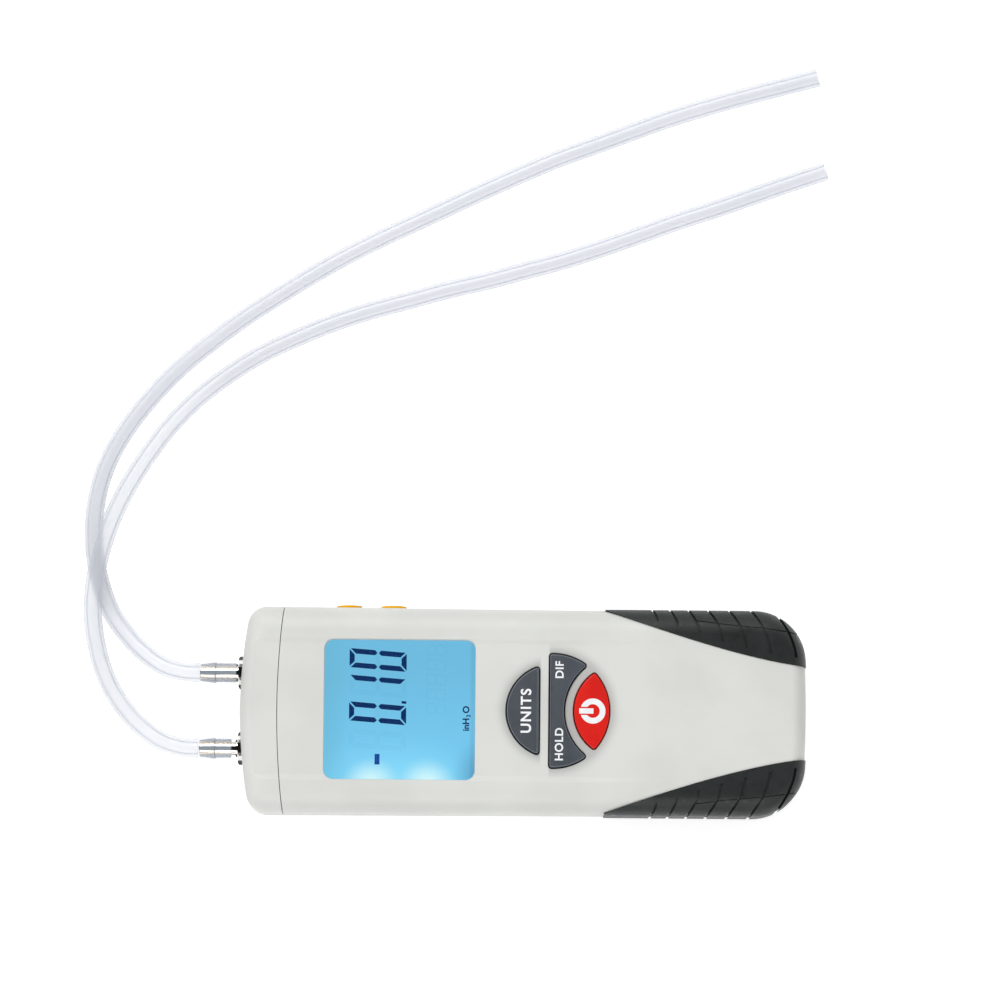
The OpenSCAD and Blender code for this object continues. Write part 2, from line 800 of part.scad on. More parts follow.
// Battery bay, battery, snap and leads
// The door's flanges pass out between the grips
flange_half = door_w / 2 + grip_web;
bay_half = flange_half + 2 * run_gap;
bay_end_gap = 1.3;
bay_x1 = tail_x - wall - bay_end_gap;
battery_x1 = tail_x - battery_from_tail;
battery_x0 = battery_x1 - battery_l;
rib_w = 1.4;
terminal_r = 2.85;
terminal_half = 6.35;
snap_gap = 0.1;
cup_wall = 0.6;
snap_edge = 0.85;
snap_half = battery_w / 2 - snap_edge;
snap_h_share = 0.8;
snap_h = snap_h_share * battery_t;
battery_mid_z = battery_z + battery_t / 2;
snap_x1 = battery_x0 - terminal_l - seat_gap;
bay_x0 = snap_x1 - snap_t - run_gap - bay_wall;
module along_x(x, y, z) {
    translate([x, y, z]) rotate([0, 90, 0]) children();
}
module bay_walls() {
    difference() {
        middle_block(bay_x0, bay_x1, bay_half + bay_wall, wall - fuse, bay_roof + bay_wall);
        middle_block(bay_x0 + bay_wall, bay_x1 - bay_wall, bay_half, 0, bay_roof);
        middle_block(bay_x0 - over, bay_x0 + bay_wall + over, terminal_half, battery_mid_z / 2,
            battery_mid_z + terminal_half);
    }
    rib_in = battery_w / 2 + run_gap;
    for (share = [0.2, 0.8]) {
        x = battery_x0 + share * battery_l;
        both_sides() block([x - rib_w / 2, rib_in, door_top + run_gap],
            [x + rib_w / 2, bay_half + fuse, bay_roof + fuse]);
    }
}
module battery() {
    color([0.2, 0.22, 0.25]) {
        middle_block(battery_x0, battery_x1, battery_w / 2, battery_z, battery_z + battery_t);
        for (side = [-1, 1])
            along_x(battery_x0 - terminal_l, side * terminal_half, battery_mid_z)
                cylinder(r = terminal_r, h = terminal_l + fuse);
    }
}
module battery_snap() {
    color([0.08, 0.08, 0.09]) {
        block([snap_x1 - snap_t, -snap_half, battery_mid_z - snap_h / 2],
            [snap_x1, snap_half, battery_mid_z + snap_h / 2]);
        for (side = [-1, 1]) along_x(snap_x1 - fuse, side * terminal_half, battery_mid_z)
            difference() {
                cylinder(r = terminal_r + snap_gap + cup_wall, h = terminal_l);
                translate([0, 0, fuse]) cylinder(r = terminal_r + snap_gap, h = terminal_l + over);
            }
    }
}

// Tubes swept along a route
function heading(route, i) =
    unit(route[min(i + 1, len(route) - 1)] - route[max(i - 1, 0)]);
function ring(c, d, r, n) =
    let (side = unit(cross(d, [0, 0, 1])), up = cross(side, d))
    [for (k = [0 : n - 1]) c + r * (cos(360 * (k + 0.5) / n) * side + sin(360 * (k + 0.5) / n) * up)];
// Hollow tube: an outer and an inner wall with ring shaped ends. Its first and last runs are
// straight, along the directions in and out.
module hose_sweep(route, in, out, r_out, r_in, n) {
    m = len(route);
    headings = [for (i = [0 : m - 1]) i < 2 ? in : i > m - 3 ? out : heading(route, i)];
    points = [for (r = [r_out, r_in]) for (i = [0 : m - 1]) each ring(route[i], headings[i], r, n)];
    inner = m * n;
    outer_walls = [for (i = [0 : m - 2]) for (k = [0 : n - 1])
        let (a = i * n + k, b = i * n + (k + 1) % n) each [[a, b, a + n], [b, b + n, a + n]]];
    inner_walls = [for (f = outer_walls) [f[0] + inner, f[2] + inner, f[1] + inner]];
    last = (m - 1) * n;
    starts = [for (k = [0 : n - 1])
        let (a = k, b = (k + 1) % n) each [[a, a + inner, b], [b, a + inner, b + inner]]];
    stops = [for (k = [0 : n - 1])
        let (a = last + k, b = last + (k + 1) % n) each [[a, b, a + inner], [b, b + inner, a + inner]]];
    polyhedron(points, concat(outer_walls, inner_walls, starts, stops));
}
// Solid round wire
module wire_sweep(route, r, n) {
    loft([for (i = [0 : len(route) - 1]) ring(route[i], heading(route, i), r, n)]);
}

lead_r = 0.7;
lead_sides = 8;
lead_half = 3.2;
lead_drop = 1.5;
module battery_lead(side) {
    y = side * lead_half;
    x0 = snap_x1 - snap_t;
    x1 = board_x1 - board_t;
    wire_sweep([[x0, y, battery_mid_z], [x0 - terminal_l, y, battery_mid_z],
        [bay_x0 - terminal_l, y, battery_mid_z + lead_drop],
        [x1 + lead_half, y, board_z - lead_drop - board_t], [x1, y, board_z - lead_drop],
        [x1 - lead_half, y, board_z - lead_r]], lead_r, lead_sides);
}
module battery_leads() {
    color([0.75, 0.1, 0.08]) battery_lead(1);
    color([0.08, 0.08, 0.08]) battery_lead(-1);
}

// Battery door: a plate with two side flanges that run in grooves of the rear shell
door_lap = 2.4;
door_lift = 0.2;
door_t = wall + run_gap - seat_gap;
door_x0 = bay_x0 - door_lap;
door_rib_count = 5;
door_rib_w = 1.2;
door_rib_pitch = 2.8;
door_rib_half_share = 0.25;
door_rib_half = door_rib_half_share * door_w;
door_rib_depth = 0.5;
door_rib_start = 8;
door_back = 1;
module door_slot() {
    far = tail_x + over;
    middle_block(door_x0 - run_gap, far, door_w / 2 + run_gap, -over, door_top + run_gap);
    middle_block(door_x0 - run_gap, far, flange_half + run_gap, wall, door_top + run_gap);
}
module battery_door() {
    color([0.84, 0.84, 0.82]) difference() {
        intersection() {
            form(door_lift, body_h, 0);
            union() {
                middle_block(door_x0, tail_x, door_w / 2, 0, door_t + fuse);
                middle_block(door_x0, tail_x - door_back, flange_half, door_flange_z, door_top);
                middle_block(door_x0, tail_x, door_w / 2 - run_gap, 0, door_top);
            }
        }
        for (i = [0 : door_rib_count - 1])
            middle_block(door_x0 + door_rib_start + i * door_rib_pitch,
                door_x0 + door_rib_start + i * door_rib_pitch + door_rib_w, door_rib_half, -over,
                door_lift + door_rib_depth);
    }
}

// Shells
module front_shell() {
    color([0.85, 0.86, 0.84]) difference() {
        union() {
            intersection() {
                difference() {
                    slices(concat([[parting_z, 0, 0, 0]], shoulder(body_h, 0)));
                    slices(concat([[parting_z - over, wall, wall, wall]], shoulder(inner_z, wall)));
                    face_recess();
                }
                behind_seam(seam_gap / 2);
            }
            at_bosses() post(0, 0, boss_r, parting_z, inner_z + fuse);
            at_standoffs() post(0, 0, standoff_r, board_top, inner_z + fuse);
            pivot_lugs();
        }
        both_sides() grip_pocket();
        plate(window_x, window_l + 2 * seat_gap, window_w + 2 * seat_gap, window_r + seat_gap,
            window_top - window_t, body_h + over);
        plate(window_x, window_l - 2 * window_ledge, window_w - 2 * window_ledge, window_r,
            inner_z - over, body_h);
        key_openings();
        side_button_holes();
        at_bosses() post(0, 0, screw_r + thread_gap, parting_z - over, screw_tip_z + over);
        at_standoffs() post(0, 0, board_screw_r + thread_gap, board_z, board_screw_tip_z + over / 2);
    }
}
module rear_shell() {
    color([0.85, 0.86, 0.84]) difference() {
        union() {
            intersection() {
                difference() {
                    slices(concat(heel(0, 0), [[parting_z, 0, 0, 0]]));
                    slices(concat(heel(wall, wall), [[parting_z + over, wall, wall, wall]]));
                }
                behind_seam(seam_gap / 2);
            }
            at_bosses() post(0, 0, boss_r, wall - fuse, parting_z);
            bay_walls();
        }
        both_sides() grip_pocket();
        door_slot();
        at_bosses() {
            post(0, 0, screw_head_r + screw_head_gap, -over, screw_head_z + screw_head_t);
            post(0, 0, screw_r + screw_hole_gap, 0, parting_z + over);
        }
    }
}

// Head cap with its collar and the seats of the ports
seat_x = head_x + port_seat_depth;
pad_in = 2.4;
pad_r = nut_r + 2 * run_gap;
port_seat_r = nut_r + 1.5 * run_gap;
module at_ports() {
    for (side = [-1, 1]) along_port(side) children();
}
// Turned so that +Z leads out of the port, from the nut's seat
module along_port(side) {
    translate([seat_x, side * port_pitch / 2, port_z]) rotate([0, -90, 0]) children();
}
module head_cap() {
    collar_x = seam_x + collar_reach;
    color([0.85, 0.86, 0.84]) difference() {
        union() {
            difference() {
                form(0, body_h, 0);
                form(wall + fuse, inner_z - fuse, wall + fuse);
                behind_seam(-seam_gap / 2);
                face_recess();
            }
            intersection() {
                difference() {
                    form(wall + seat_gap, inner_z - seat_gap, wall + seat_gap);
                    form(wall + collar_t, inner_z - collar_t, wall + collar_t);
                }
                block([seam_x - collar_reach, -head_w, 0], [collar_x, head_w, body_h]);
            }
            intersection() {
                at_ports() translate([0, 0, -pad_in]) cylinder(r = pad_r, h = pad_in);
                form(0, body_h, 0);
            }
        }
        at_ports() {
            translate([0, 0, -pad_in - over])
                cylinder(r = shank_r + thread_gap + pin_gap, h = pad_in + 2 * over);
            cylinder(r = port_seat_r, h = over * 2);
        }
    }
}

// Nozzles, turned from one bar, with an inner and an outer barb
barb_r = stem_r + barb_rise;
inner_barb_l = 3;
inner_neck_l = 3.4;
inner_stem_r = 1.6;
inner_barb_r = 1.9;
inner_tip_r = 1.4;
shank_in = pad_in + nut_t + seat_gap;
collar_r = 2.9;
nozzle_collar_l = 0.7;
module nozzle(side) {
    inner_end = -shank_in - inner_neck_l - inner_barb_l;
    profile = [
        [nozzle_bore_r, inner_end], [inner_tip_r, inner_end], [inner_barb_r, inner_end + inner_barb_l],
        [inner_stem_r, inner_end + inner_barb_l], [inner_stem_r, -shank_in], [shank_r, -shank_in],
        [shank_r, nut_t], [collar_r, nut_t], [collar_r, nut_t + nozzle_collar_l],
        [stem_r, nut_t + nozzle_collar_l], [stem_r, nozzle_reach - barb_l],
        [barb_r, nozzle_reach - barb_l], [barb_tip_r, nozzle_reach], [nozzle_bore_r, nozzle_reach]
    ];
    color([0.8, 0.8, 0.82]) along_port(side) rotate_extrude() polygon(profile);
}
module nozzle_upper() {
    nozzle(1);
}
module nozzle_lower() {
    nozzle(-1);
}
// Angle that turns two corners of a nut to the sides
nut_turn = 30;
module nut() {
    difference() {
        rotate([0, 0, nut_turn]) cylinder(r = nut_r, h = nut_t, $fn = 6);
        translate([0, 0, -over]) cylinder(r = shank_r + thread_gap, h = nut_t + 2 * over);
    }
}
module nozzle_outer_nuts() {
    color([0.5, 0.5, 0.52]) at_ports() nut();
}
module nozzle_inner_nuts() {
    color([0.7, 0.62, 0.35]) at_ports() translate([0, 0, -pad_in - nut_t]) nut();
}

// Pressure sensor under the board and the tubes that lead to it
sensor_from_seat = 28;
sensor_x0 = seat_x + sensor_from_seat;
sensor_l = 18;
sensor_half = 9;
sensor_h = 9;
sensor_port_z = board_z - sensor_h / 2;
sensor_port_half = 5;
sensor_port_r = 1.9;
sensor_port_l = 3;
sensor_bore_r = 0.8;
module pressure_sensor() {
    color([0.15, 0.15, 0.17]) difference() {
        union() {
            middle_block(sensor_x0, sensor_x0 + sensor_l, sensor_half, board_z - sensor_h, board_z);
            for (side = [-1, 1])
                along_x(sensor_x0 - sensor_port_l, side * sensor_port_half, sensor_port_z)
                    cylinder(r = sensor_port_r, h = sensor_port_l + fuse);
        }
        for (side = [-1, 1])
            along_x(sensor_x0 - sensor_port_l - over, side * sensor_port_half, sensor_port_z)
                cylinder(r = sensor_bore_r, h = 2 * sensor_port_l);
    }
}
tube_r = 3;
tube_bore_r = 2.05;
tube_sides = 10;
tube_n = 6;
module sensor_tube(side) {
    x0 = seat_x + shank_in + inner_neck_l;
    x1 = sensor_x0 - seat_gap;
    straight = inner_barb_l + seat_gap;
    from = [x0, side * port_pitch / 2, port_z];
    to = [x1, side * sensor_port_half, sensor_port_z];
    lead = [straight, 0, 0];
    bend = [for (i = [0 : tube_n]) let (s = i / tube_n, c = (1 - cos(180 * s)) / 2, run = to - from)
        from + lead + [(run[0] - 2 * straight) * s, run[1] * c, run[2] * c]];
    color([0.8, 0.75, 0.7])
        hose_sweep(concat([from], bend, [to]), [1, 0, 0], [1, 0, 0], tube_r, tube_bore_r, tube_sides);
}
module sensor_tube_upper() {
    sensor_tube(1);
}
module sensor_tube_lower() {
    sensor_tube(-1);
}

// Hoses: a turned cuff over the barb, a swept tube and a turned straight end
hose_sides = 10;
cuff_gap = 0.05;
cuff_bore = barb_r + cuff_gap;
// The stretched wall is thinner, as its bore is wider, but swells at the barb
cuff_swell = 0.43;
cuff_r = sqrt(pow(hose_r, 2) - pow(hose_bore_r, 2) + pow(cuff_bore, 2)) + cuff_swell;
cuff_neck = 3.5;
cuff_run = 3.5;
hose_bed = 0.5;
// The swept tube stays inside the wall of the turned ends that it enters
sweep_share = 0.985;
sweep_bore_share = 1.015 / cos(180 / hose_sides);
// The lower hose is pushed on less far
push_short = 1.3;
cuff_start_upper = nut_t + nozzle_collar_l;
cuff_start_lower = cuff_start_upper + push_short;
// Routes from the straight run at the port to the free end
route_upper = [
    [-107.6, 12.2, 14], [-112, 12.9, 13.7], [-118, 15.3, 12.7], [-126, 22, 9], [-133.5, 32, 5], [-138, 44, 3.3],
    [-140, 56, 3.1], [-139, 69, 3.1], [-135.5, 81, 3.1], [-129.5, 92, 3.1], [-121.5, 102.5, 3.1],
    [-112.5, 112, 3.1], [-103, 120, 3.1], [-92.5, 128, 3.1], [-82, 135, 3.1], [-71, 142, 3.1],
    [-60, 148.5, 3.1], [-48.5, 154.5, 3.1], [-37, 160, 3.1], [-25.5, 165.5, 3.1],
    [-14, 171, 3.1], [-2, 176.5, 3.1], [9.5, 181.5, 3.1], [21.5, 186, 3.1], [33.5, 190.5, 3.1],
    [45.5, 195, 3.1], [58, 199, 3.1], [70, 202.5, 3.1], [83, 206, 3.1]
];
route_lower = [
    [-107.6, -12.2, 14], [-112, -11.5, 14], [-118.5, -8.8, 13.8], [-127, -1.5, 13], [-134, 9, 12], [-138, 21, 11],
    [-139.5, 34, 10.4], [-138, 47, 9.9], [-134.5, 59.5, 9.5], [-129.5, 71, 8.9],
    [-123, 82, 7.6], [-115.5, 92.5, 5.9], [-106.5, 102, 4.4], [-96.5, 110, 3.4],
    [-85.5, 117, 3.1], [-74, 122.5, 3.1], [-62, 127.5, 3.1], [-50, 131.5, 3.1],
    [-37.5, 135, 3.1], [-25, 138.5, 3.1], [-12.5, 141.5, 3.1], [0, 145, 3.1],
    [12.5, 148.5, 3.1], [24.5, 152.5, 3.1], [37, 157, 3.1], [49, 161.5, 3.1],
    [61, 165.5, 3.1], [73.5, 170, 3.1], [86, 174.5, 3.1]
];
angle_upper = 15;
angle_lower = 19;
module hose(side, start, route, angle) {
    tip = nozzle_reach + cuff_gap;
    end = nozzle_reach + cuff_run;
    profile = [
        [cuff_bore, start], [cuff_r, start], [cuff_r, tip - cuff_neck], [hose_r, tip + cuff_neck / 2],
        [hose_r, end], [hose_bore_r, end], [hose_bore_r, tip + cuff_neck / 2], [cuff_bore, tip]
    ];
    n = len(route);
    last = route[n - 1];
    along = [cos(angle), sin(angle), 0];
    first = [seat_x - end, side * port_pitch / 2, port_z];
    full = concat([first + [hose_bed, 0, 0], first], [for (i = [1 : n - 1]) route[i]],
        [last + hose_bed * along]);
    color([0.88, 0.93, 0.97]) {
        along_port(side) rotate_extrude() polygon(profile);
        hose_sweep(full, [-1, 0, 0], along, hose_r * sweep_share, hose_bore_r * sweep_bore_share,
            hose_sides);
        translate(last) rotate([0, 0, angle]) rotate([0, 90, 0]) difference() {
            cylinder(r = hose_r, h = hose_tail_l);
            translate([0, 0, -over]) cylinder(r = hose_bore_r, h = hose_tail_l + 2 * over);
        }
    }
}
module hose_upper() {
    hose(1, cuff_start_upper, route_upper, angle_upper);
}
module hose_lower() {
    hose(-1, cuff_start_lower, route_lower, angle_lower);
}

front_shell();
rear_shell();
head_cap();
grip_upper();
grip_lower();
display_window();
lcd_glass();
lcd_holder();
lcd_connector_strips();
backlight_guide();
backlight_leds();
main_board();
controller_chip();
board_screws();
key_switches();
side_switches();
key_units();
key_hold_dif();
key_power();
side_button_a();
side_button_b();
pressure_sensor();
sensor_tube_upper();
sensor_tube_lower();
nozzle_upper();
nozzle_lower();
nozzle_outer_nuts();
nozzle_inner_nuts();
hose_upper();
hose_lower();
battery();
battery_snap();
battery_leads();
battery_door();
housing_screws();
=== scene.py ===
"""Looks of a handheld digital manometer with a lit display and two clear hoses."""
import logging
import math
from dataclasses import dataclass
from enum import Enum
from typing import Callable, Iterable, Optional, Sequence

import bpy
from mathutils import Matrix, Vector
from mathutils.geometry import delaunay_2d_cdt


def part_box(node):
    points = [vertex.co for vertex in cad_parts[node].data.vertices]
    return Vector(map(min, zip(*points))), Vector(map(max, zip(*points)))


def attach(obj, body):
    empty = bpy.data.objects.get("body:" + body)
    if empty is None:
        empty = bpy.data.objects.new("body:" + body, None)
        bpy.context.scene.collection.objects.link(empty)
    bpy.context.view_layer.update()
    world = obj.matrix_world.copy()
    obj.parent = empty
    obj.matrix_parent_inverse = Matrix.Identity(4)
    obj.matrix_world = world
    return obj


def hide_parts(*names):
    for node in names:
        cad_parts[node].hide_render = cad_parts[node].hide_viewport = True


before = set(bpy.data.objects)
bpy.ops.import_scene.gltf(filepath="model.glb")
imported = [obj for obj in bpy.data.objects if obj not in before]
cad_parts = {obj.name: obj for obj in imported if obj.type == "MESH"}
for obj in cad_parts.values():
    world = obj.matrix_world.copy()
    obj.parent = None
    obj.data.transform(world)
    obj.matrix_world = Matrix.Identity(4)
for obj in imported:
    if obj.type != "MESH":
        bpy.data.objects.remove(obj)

LOG = logging.getLogger("manometer")
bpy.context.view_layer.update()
MM = 0.001
SHARP_ANGLE = math.radians(28)
BEVEL_ANGLE = math.radians(35)
FAN_ANGLE = math.radians(12)
MITRE_LIMIT = 0.2
CAP_HEIGHT = 0.729
KEYS_X = 9.5
PORTS_Y = 12.2

Flat = tuple[float, float]
Place = tuple[float, float, float]
Colour = tuple[float, float, float]
Thing = bpy.types.Object
Socket = bpy.types.NodeSocket


class Cut(Enum):
    """What a tool does to the solid that it meets."""

    AWAY = "DIFFERENCE"
    JOIN = "UNION"
    KEEP = "INTERSECT"


# Meshes, written in millimetres


def make(name: str, points: Sequence[Sequence[float]], faces: Iterable[Sequence[int]]) -> Thing:
    """Makes a mesh object from points in millimetres.

    Args:
        name: Name of the object.
        points: Its points in millimetres.
        faces: Its faces, anticlockwise from outside.

    Returns:
        The object, at the origin.
    """
    mesh = bpy.data.meshes.new(name)
    mesh.from_pydata([[c * MM for c in p] for p in points], [], [list(f) for f in faces])
    mesh.update()
    thing = bpy.data.objects.new(name, mesh)
    bpy.context.scene.collection.objects.link(thing)
    return thing


def walls(a: int, b: int, n: int) -> list[list[int]]:
    """Faces between two rings of n points, given by the number of each ring's first point."""
    return [[a + i, a + (i + 1) % n, b + (i + 1) % n, b + i] for i in range(n)]


def loft(name: str, rings: Sequence[Sequence[Place]], loop: bool = False) -> Thing:
    """Skins rings of equal count.

    Args:
        name: Name of the object.
        rings: Rings of points, each anticlockwise as seen from the last ring's side.
        loop: Whether the last ring joins the first, with no end caps.

    Returns:
        The closed solid.
    """
    n, count = len(rings[0]), len(rings)
    faces: list[list[int]] = []
    for k in range(count if loop else count - 1):
        faces += walls(k * n, (k + 1) % count * n, n)
    if not loop:
        faces += [list(range(n))[::-1], [(count - 1) * n + i for i in range(n)]]
    return make(name, [p for ring in rings for p in ring], faces)


def drop(thing: Thing) -> None:
    """Removes a tool and its mesh.

    Args:
        thing: The tool.
    """
    mesh = thing.data
    bpy.data.objects.remove(thing)
    bpy.data.meshes.remove(mesh)


def bake(thing: Thing) -> Thing:
    """Turns an object's modifiers into plain mesh.

    Args:
        thing: The object.

    Returns:
        The same object, without modifiers.
    """
    graph = bpy.context.evaluated_depsgraph_get()
    mesh = bpy.data.meshes.new_from_object(thing.evaluated_get(graph), depsgraph=graph)
    old = thing.data
    thing.modifiers.clear()
    thing.data = mesh
    mesh.name = thing.name
    bpy.data.meshes.remove(old)
    return thing


def combine(solid: Thing, cut: Cut, *tools: Thing) -> Thing:
    """Cuts, joins or trims a solid, and removes the tools.

    Args:
        solid: The solid that is changed.
        cut: What the tools do to it.
        tools: The tools.

    Returns:
        The changed solid.
    """
    for tool in tools:
        step = solid.modifiers.new("step", "BOOLEAN")
        step.solver, step.operation, step.object = "MANIFOLD", cut.value, tool
        bake(solid)
        drop(tool)
    return solid


def polish(thing: Thing, bevel: float = 0.0, angle: float = SHARP_ANGLE) -> Thing:
    """Rounds an object's sharp edges and sets its shading.

    Args:
        thing: The object.
        bevel: Width of the rounding in millimetres, or 0 for none.
        angle: Angle above which an edge stays sharp.

    Returns:
        The same object.
    """
    if bevel:
        rounding = thing.modifiers.new("rounding", "BEVEL")
        rounding.width, rounding.segments, rounding.limit_method = bevel * MM, 2, "ANGLE"
        rounding.angle_limit, rounding.miter_outer = BEVEL_ANGLE, "MITER_ARC"
        bake(thing)
    thing.data.shade_smooth()
    thing.data.set_sharp_from_angle(angle=angle)
    thing.modifiers.new("weigh", "WEIGHTED_NORMAL").keep_sharp = True
    return bake(thing)


def mirrored(thing: Thing) -> Thing:
    """Mirrors a solid across the middle line.

    Args:
        thing: The solid.

    Returns:
        The same solid.
    """
    thing.data.transform(Matrix.Diagonal((1, -1, 1, 1)))
    thing.data.flip_normals()
    return thing


def clamp(t: float) -> float:
    """Holds a share between 0 and 1."""
    return min(max(t, 0), 1)


def ease(t: float) -> float:
    """Soft step from 0 to 1 that keeps a little slope at both ends."""
    return 0.9 * t * t * (3 - 2 * t) + 0.1 * t


def quarter(n: int) -> list[float]:
    """Angles that part a quarter turn into n steps."""
    return [math.pi / 2 * i / n for i in range(n + 1)]


def arc(centre: Flat, r: float, a0: float, a1: float, n: int, first: int = 0) -> list[Flat]:
    """Points of an arc.

    Args:
        centre: Its centre.
        r: Its radius.
        a0: Angle at its start, in degrees.
        a1: Angle at its end.
        n: Number of steps.
        first: Step of the first point.

    Returns:
        The points.
    """
    turns = [math.radians(a0 + (a1 - a0) * i / n) for i in range(first, n + 1)]
    return [(centre[0] + r * math.cos(t), centre[1] + r * math.sin(t)) for t in turns]


def rounded(x: float, reach: Flat, r: float, n: int) -> list[Flat]:
    """Rectangle with round corners.

    Args:
        x: Its middle; the other one is 0.
        reach: How far its corners' centres lie from the middle.
        r: Radius of the corners.
        n: Steps of each corner.

    Returns:
        Its outline, anticlockwise.
    """
    u, v = reach
    turns = ((u, v, 0), (-u, v, 90), (-u, -v, 180), (u, -v, 270))
    return [p for cx, cy, a in turns for p in arc((x + cx, cy), r, a, a + 90, n)]


def band(line: Sequence[Flat], dx: float, dy: float) -> list[Flat]:
    """Outline of a line that is widened both ways by a step."""
    return [*[(x - dx, y - dy) for x, y in line], *[(x + dx, y + dy) for x, y in line[::-1]]]


def grown(points: Sequence[Flat], by: float, fan: int = 0) -> list[Flat]:
    """Moves an anticlockwise outline outwards.

    Args:
        points: The outline.
        by: How far, or inwards if negative.
        fan: Steps of the round joins at its corners, or 0 for plain mitres.

    Returns:
        The moved outline.
    """
    n = len(points)
    moved: list[Flat] = []
    for i in range(n):
        before, here, after = (Vector(points[(i + k) % n]) for k in (-1, 0, 1))
        a, b = (here - before).normalized(), (after - here).normalized()
        left, right = Vector((a.y, -a.x)), Vector((b.y, -b.x))
        turn = math.atan2(a.x * b.y - a.y * b.x, a.dot(b))
        if fan and turn > FAN_ANGLE:
            start = math.atan2(left.y, left.x)
            spread = [start + turn * k / fan for k in range(fan + 1)]
            moved += [(here.x + by * math.cos(t), here.y + by * math.sin(t)) for t in spread]
        else:
            way = (left + right).normalized()
            moved.append(tuple(here + way * by / max(math.cos(turn / 2), MITRE_LIMIT)))
    return moved


def at(points: Sequence[Flat], z: float) -> list[Place]:
    """Lays an outline at a height."""
    return [(x, y, z) for x, y in points]


def prism(name: str, points: Sequence[Flat], z0: float, z1: float) -> Thing:
    """Upright solid on an outline between two heights."""
    return loft(name, [at(points, z0), at(points, z1)])


def block(name: str, a: Place, b: Place) -> Thing:
    """Block from one corner to another."""
    return prism(name, [(a[0], a[1]), (b[0], a[1]), (b[0], b[1]), (a[0], b[1])], a[2], b[2])


def middle_block(name: str, x: Flat, half: float, z: Flat) -> Thing:
    """Block about the middle line, between two places along the housing and two heights."""
    return block(name, (x[0], -half, z[0]), (x[1], half, z[1]))


def post(name: str, x: float, y: float, r: float, z0: float, z1: float, n: int = 64) -> Thing:
    """Upright cylinder between two heights."""
    return prism(name, arc((x, y), r, 0, 360, n)[:-1], z0, z1)


def aimed(x: float, y: float, z: float, about: str) -> Matrix:
    """Frame at a place: turned about X its +Z points along +Y, and about Y along -X."""
    return Matrix.Translation((x, y, z)) @ Matrix.Rotation(-math.pi / 2, 4, about)


def turned(name: str, profile: Sequence[Flat], where: Matrix, loop: bool = False,
           n: int = 72) -> Thing:
    """Turned piece.

    Args:
        name: Name of the object.
        profile: Points of radius and height, which end outside if the piece has no bore.
        where: Where its axis, +Z, goes.
        loop: Whether the profile closes round a bore.
        n: Number of sides.

    Returns:
        The piece.
    """
    rings = [[tuple(where @ Vector((x, y, h))) for x, y in arc((0, 0), r, 0, 360, n)[:-1]]
             for r, h in profile]
    return loft(name, rings, loop)


def inside(p: Flat, points: Sequence[Flat]) -> bool:
    """Tells whether a point lies within an outline.

    Args:
        p: The point.
        points: The outline.

    Returns:
        Whether it does.
    """
    hit = False
    for (x0, y0), (x1, y1) in zip(points, [*points[1:], points[0]]):
        if (y0 > p[1]) != (y1 > p[1]) and p[0] < x0 + (p[1] - y0) * (x1 - x0) / (y1 - y0):
            hit = not hit
    return hit


def crowned(name: str, rings: Sequence[Sequence[Place]], step: float,
            top: Callable[[float, float], float]) -> Thing:
    """Solid whose top is a curved surface within its last ring.

    Args:
        name: Name of the object.
        rings: Rings from the bottom up to the edge of the top.
        step: Spacing of the points on the top.
        top: Height of the top at a place.

    Returns:
        The solid.
    """
    edge = [(p[0], p[1]) for p in rings[-1]]
    xs, ys = [p[0] for p in edge], [p[1] for p in edge]
    spots = [(min(xs) + step * (i + 0.5 * (j % 2)), min(ys) + step * j)
             for i in range(int((max(xs) - min(xs)) / step) + 1)
             for j in range(int((max(ys) - min(ys)) / step) + 1)]
    clear = [p for p in spots if inside(p, edge)
             and min((p[0] - e[0]) ** 2 + (p[1] - e[1]) ** 2 for e in edge) > (step / 2) ** 2]
    flat, _, faces, sources, _, _ = delaunay_2d_cdt(
        [Vector(p) for p in [*edge, *clear]], [], [list(range(len(edge)))], 1, 1e-6)
    n, base = len(edge), sum(len(r) for r in rings[:-1])
    index = {i: base + s[0] if s and s[0] < n else None for i, s in enumerate(sources)}
    points = [p for ring in rings for p in ring]
    for i, p in enumerate(flat):
        if index[i] is None:
            index[i] = len(points)
            points.append((p.x, p.y, top(p.x, p.y)))
    skins = [[index[i] for i in f] for f in faces]
    for k in range(len(rings) - 1):
        skins += walls(k * n, (k + 1) * n, n)
    skins.append(list(range(n))[::-1])
    return make(name, points, skins)


# Finishes


def linear(red: float, green: float, blue: float) -> tuple[float, float, float, float]:
    """Turns screen values of 0 to 255 into a shader colour.

    Args:
        red: Red.
        green: Green.
        blue: Blue.

    Returns:
        Linear red, green and blue, and full alpha.
    """
    shares = [c / 255 for c in (red, green, blue)]
    return *[c / 12.92 if c <= 0.04045 else ((c + 0.055) / 1.055) ** 2.4 for c in shares], 1.0


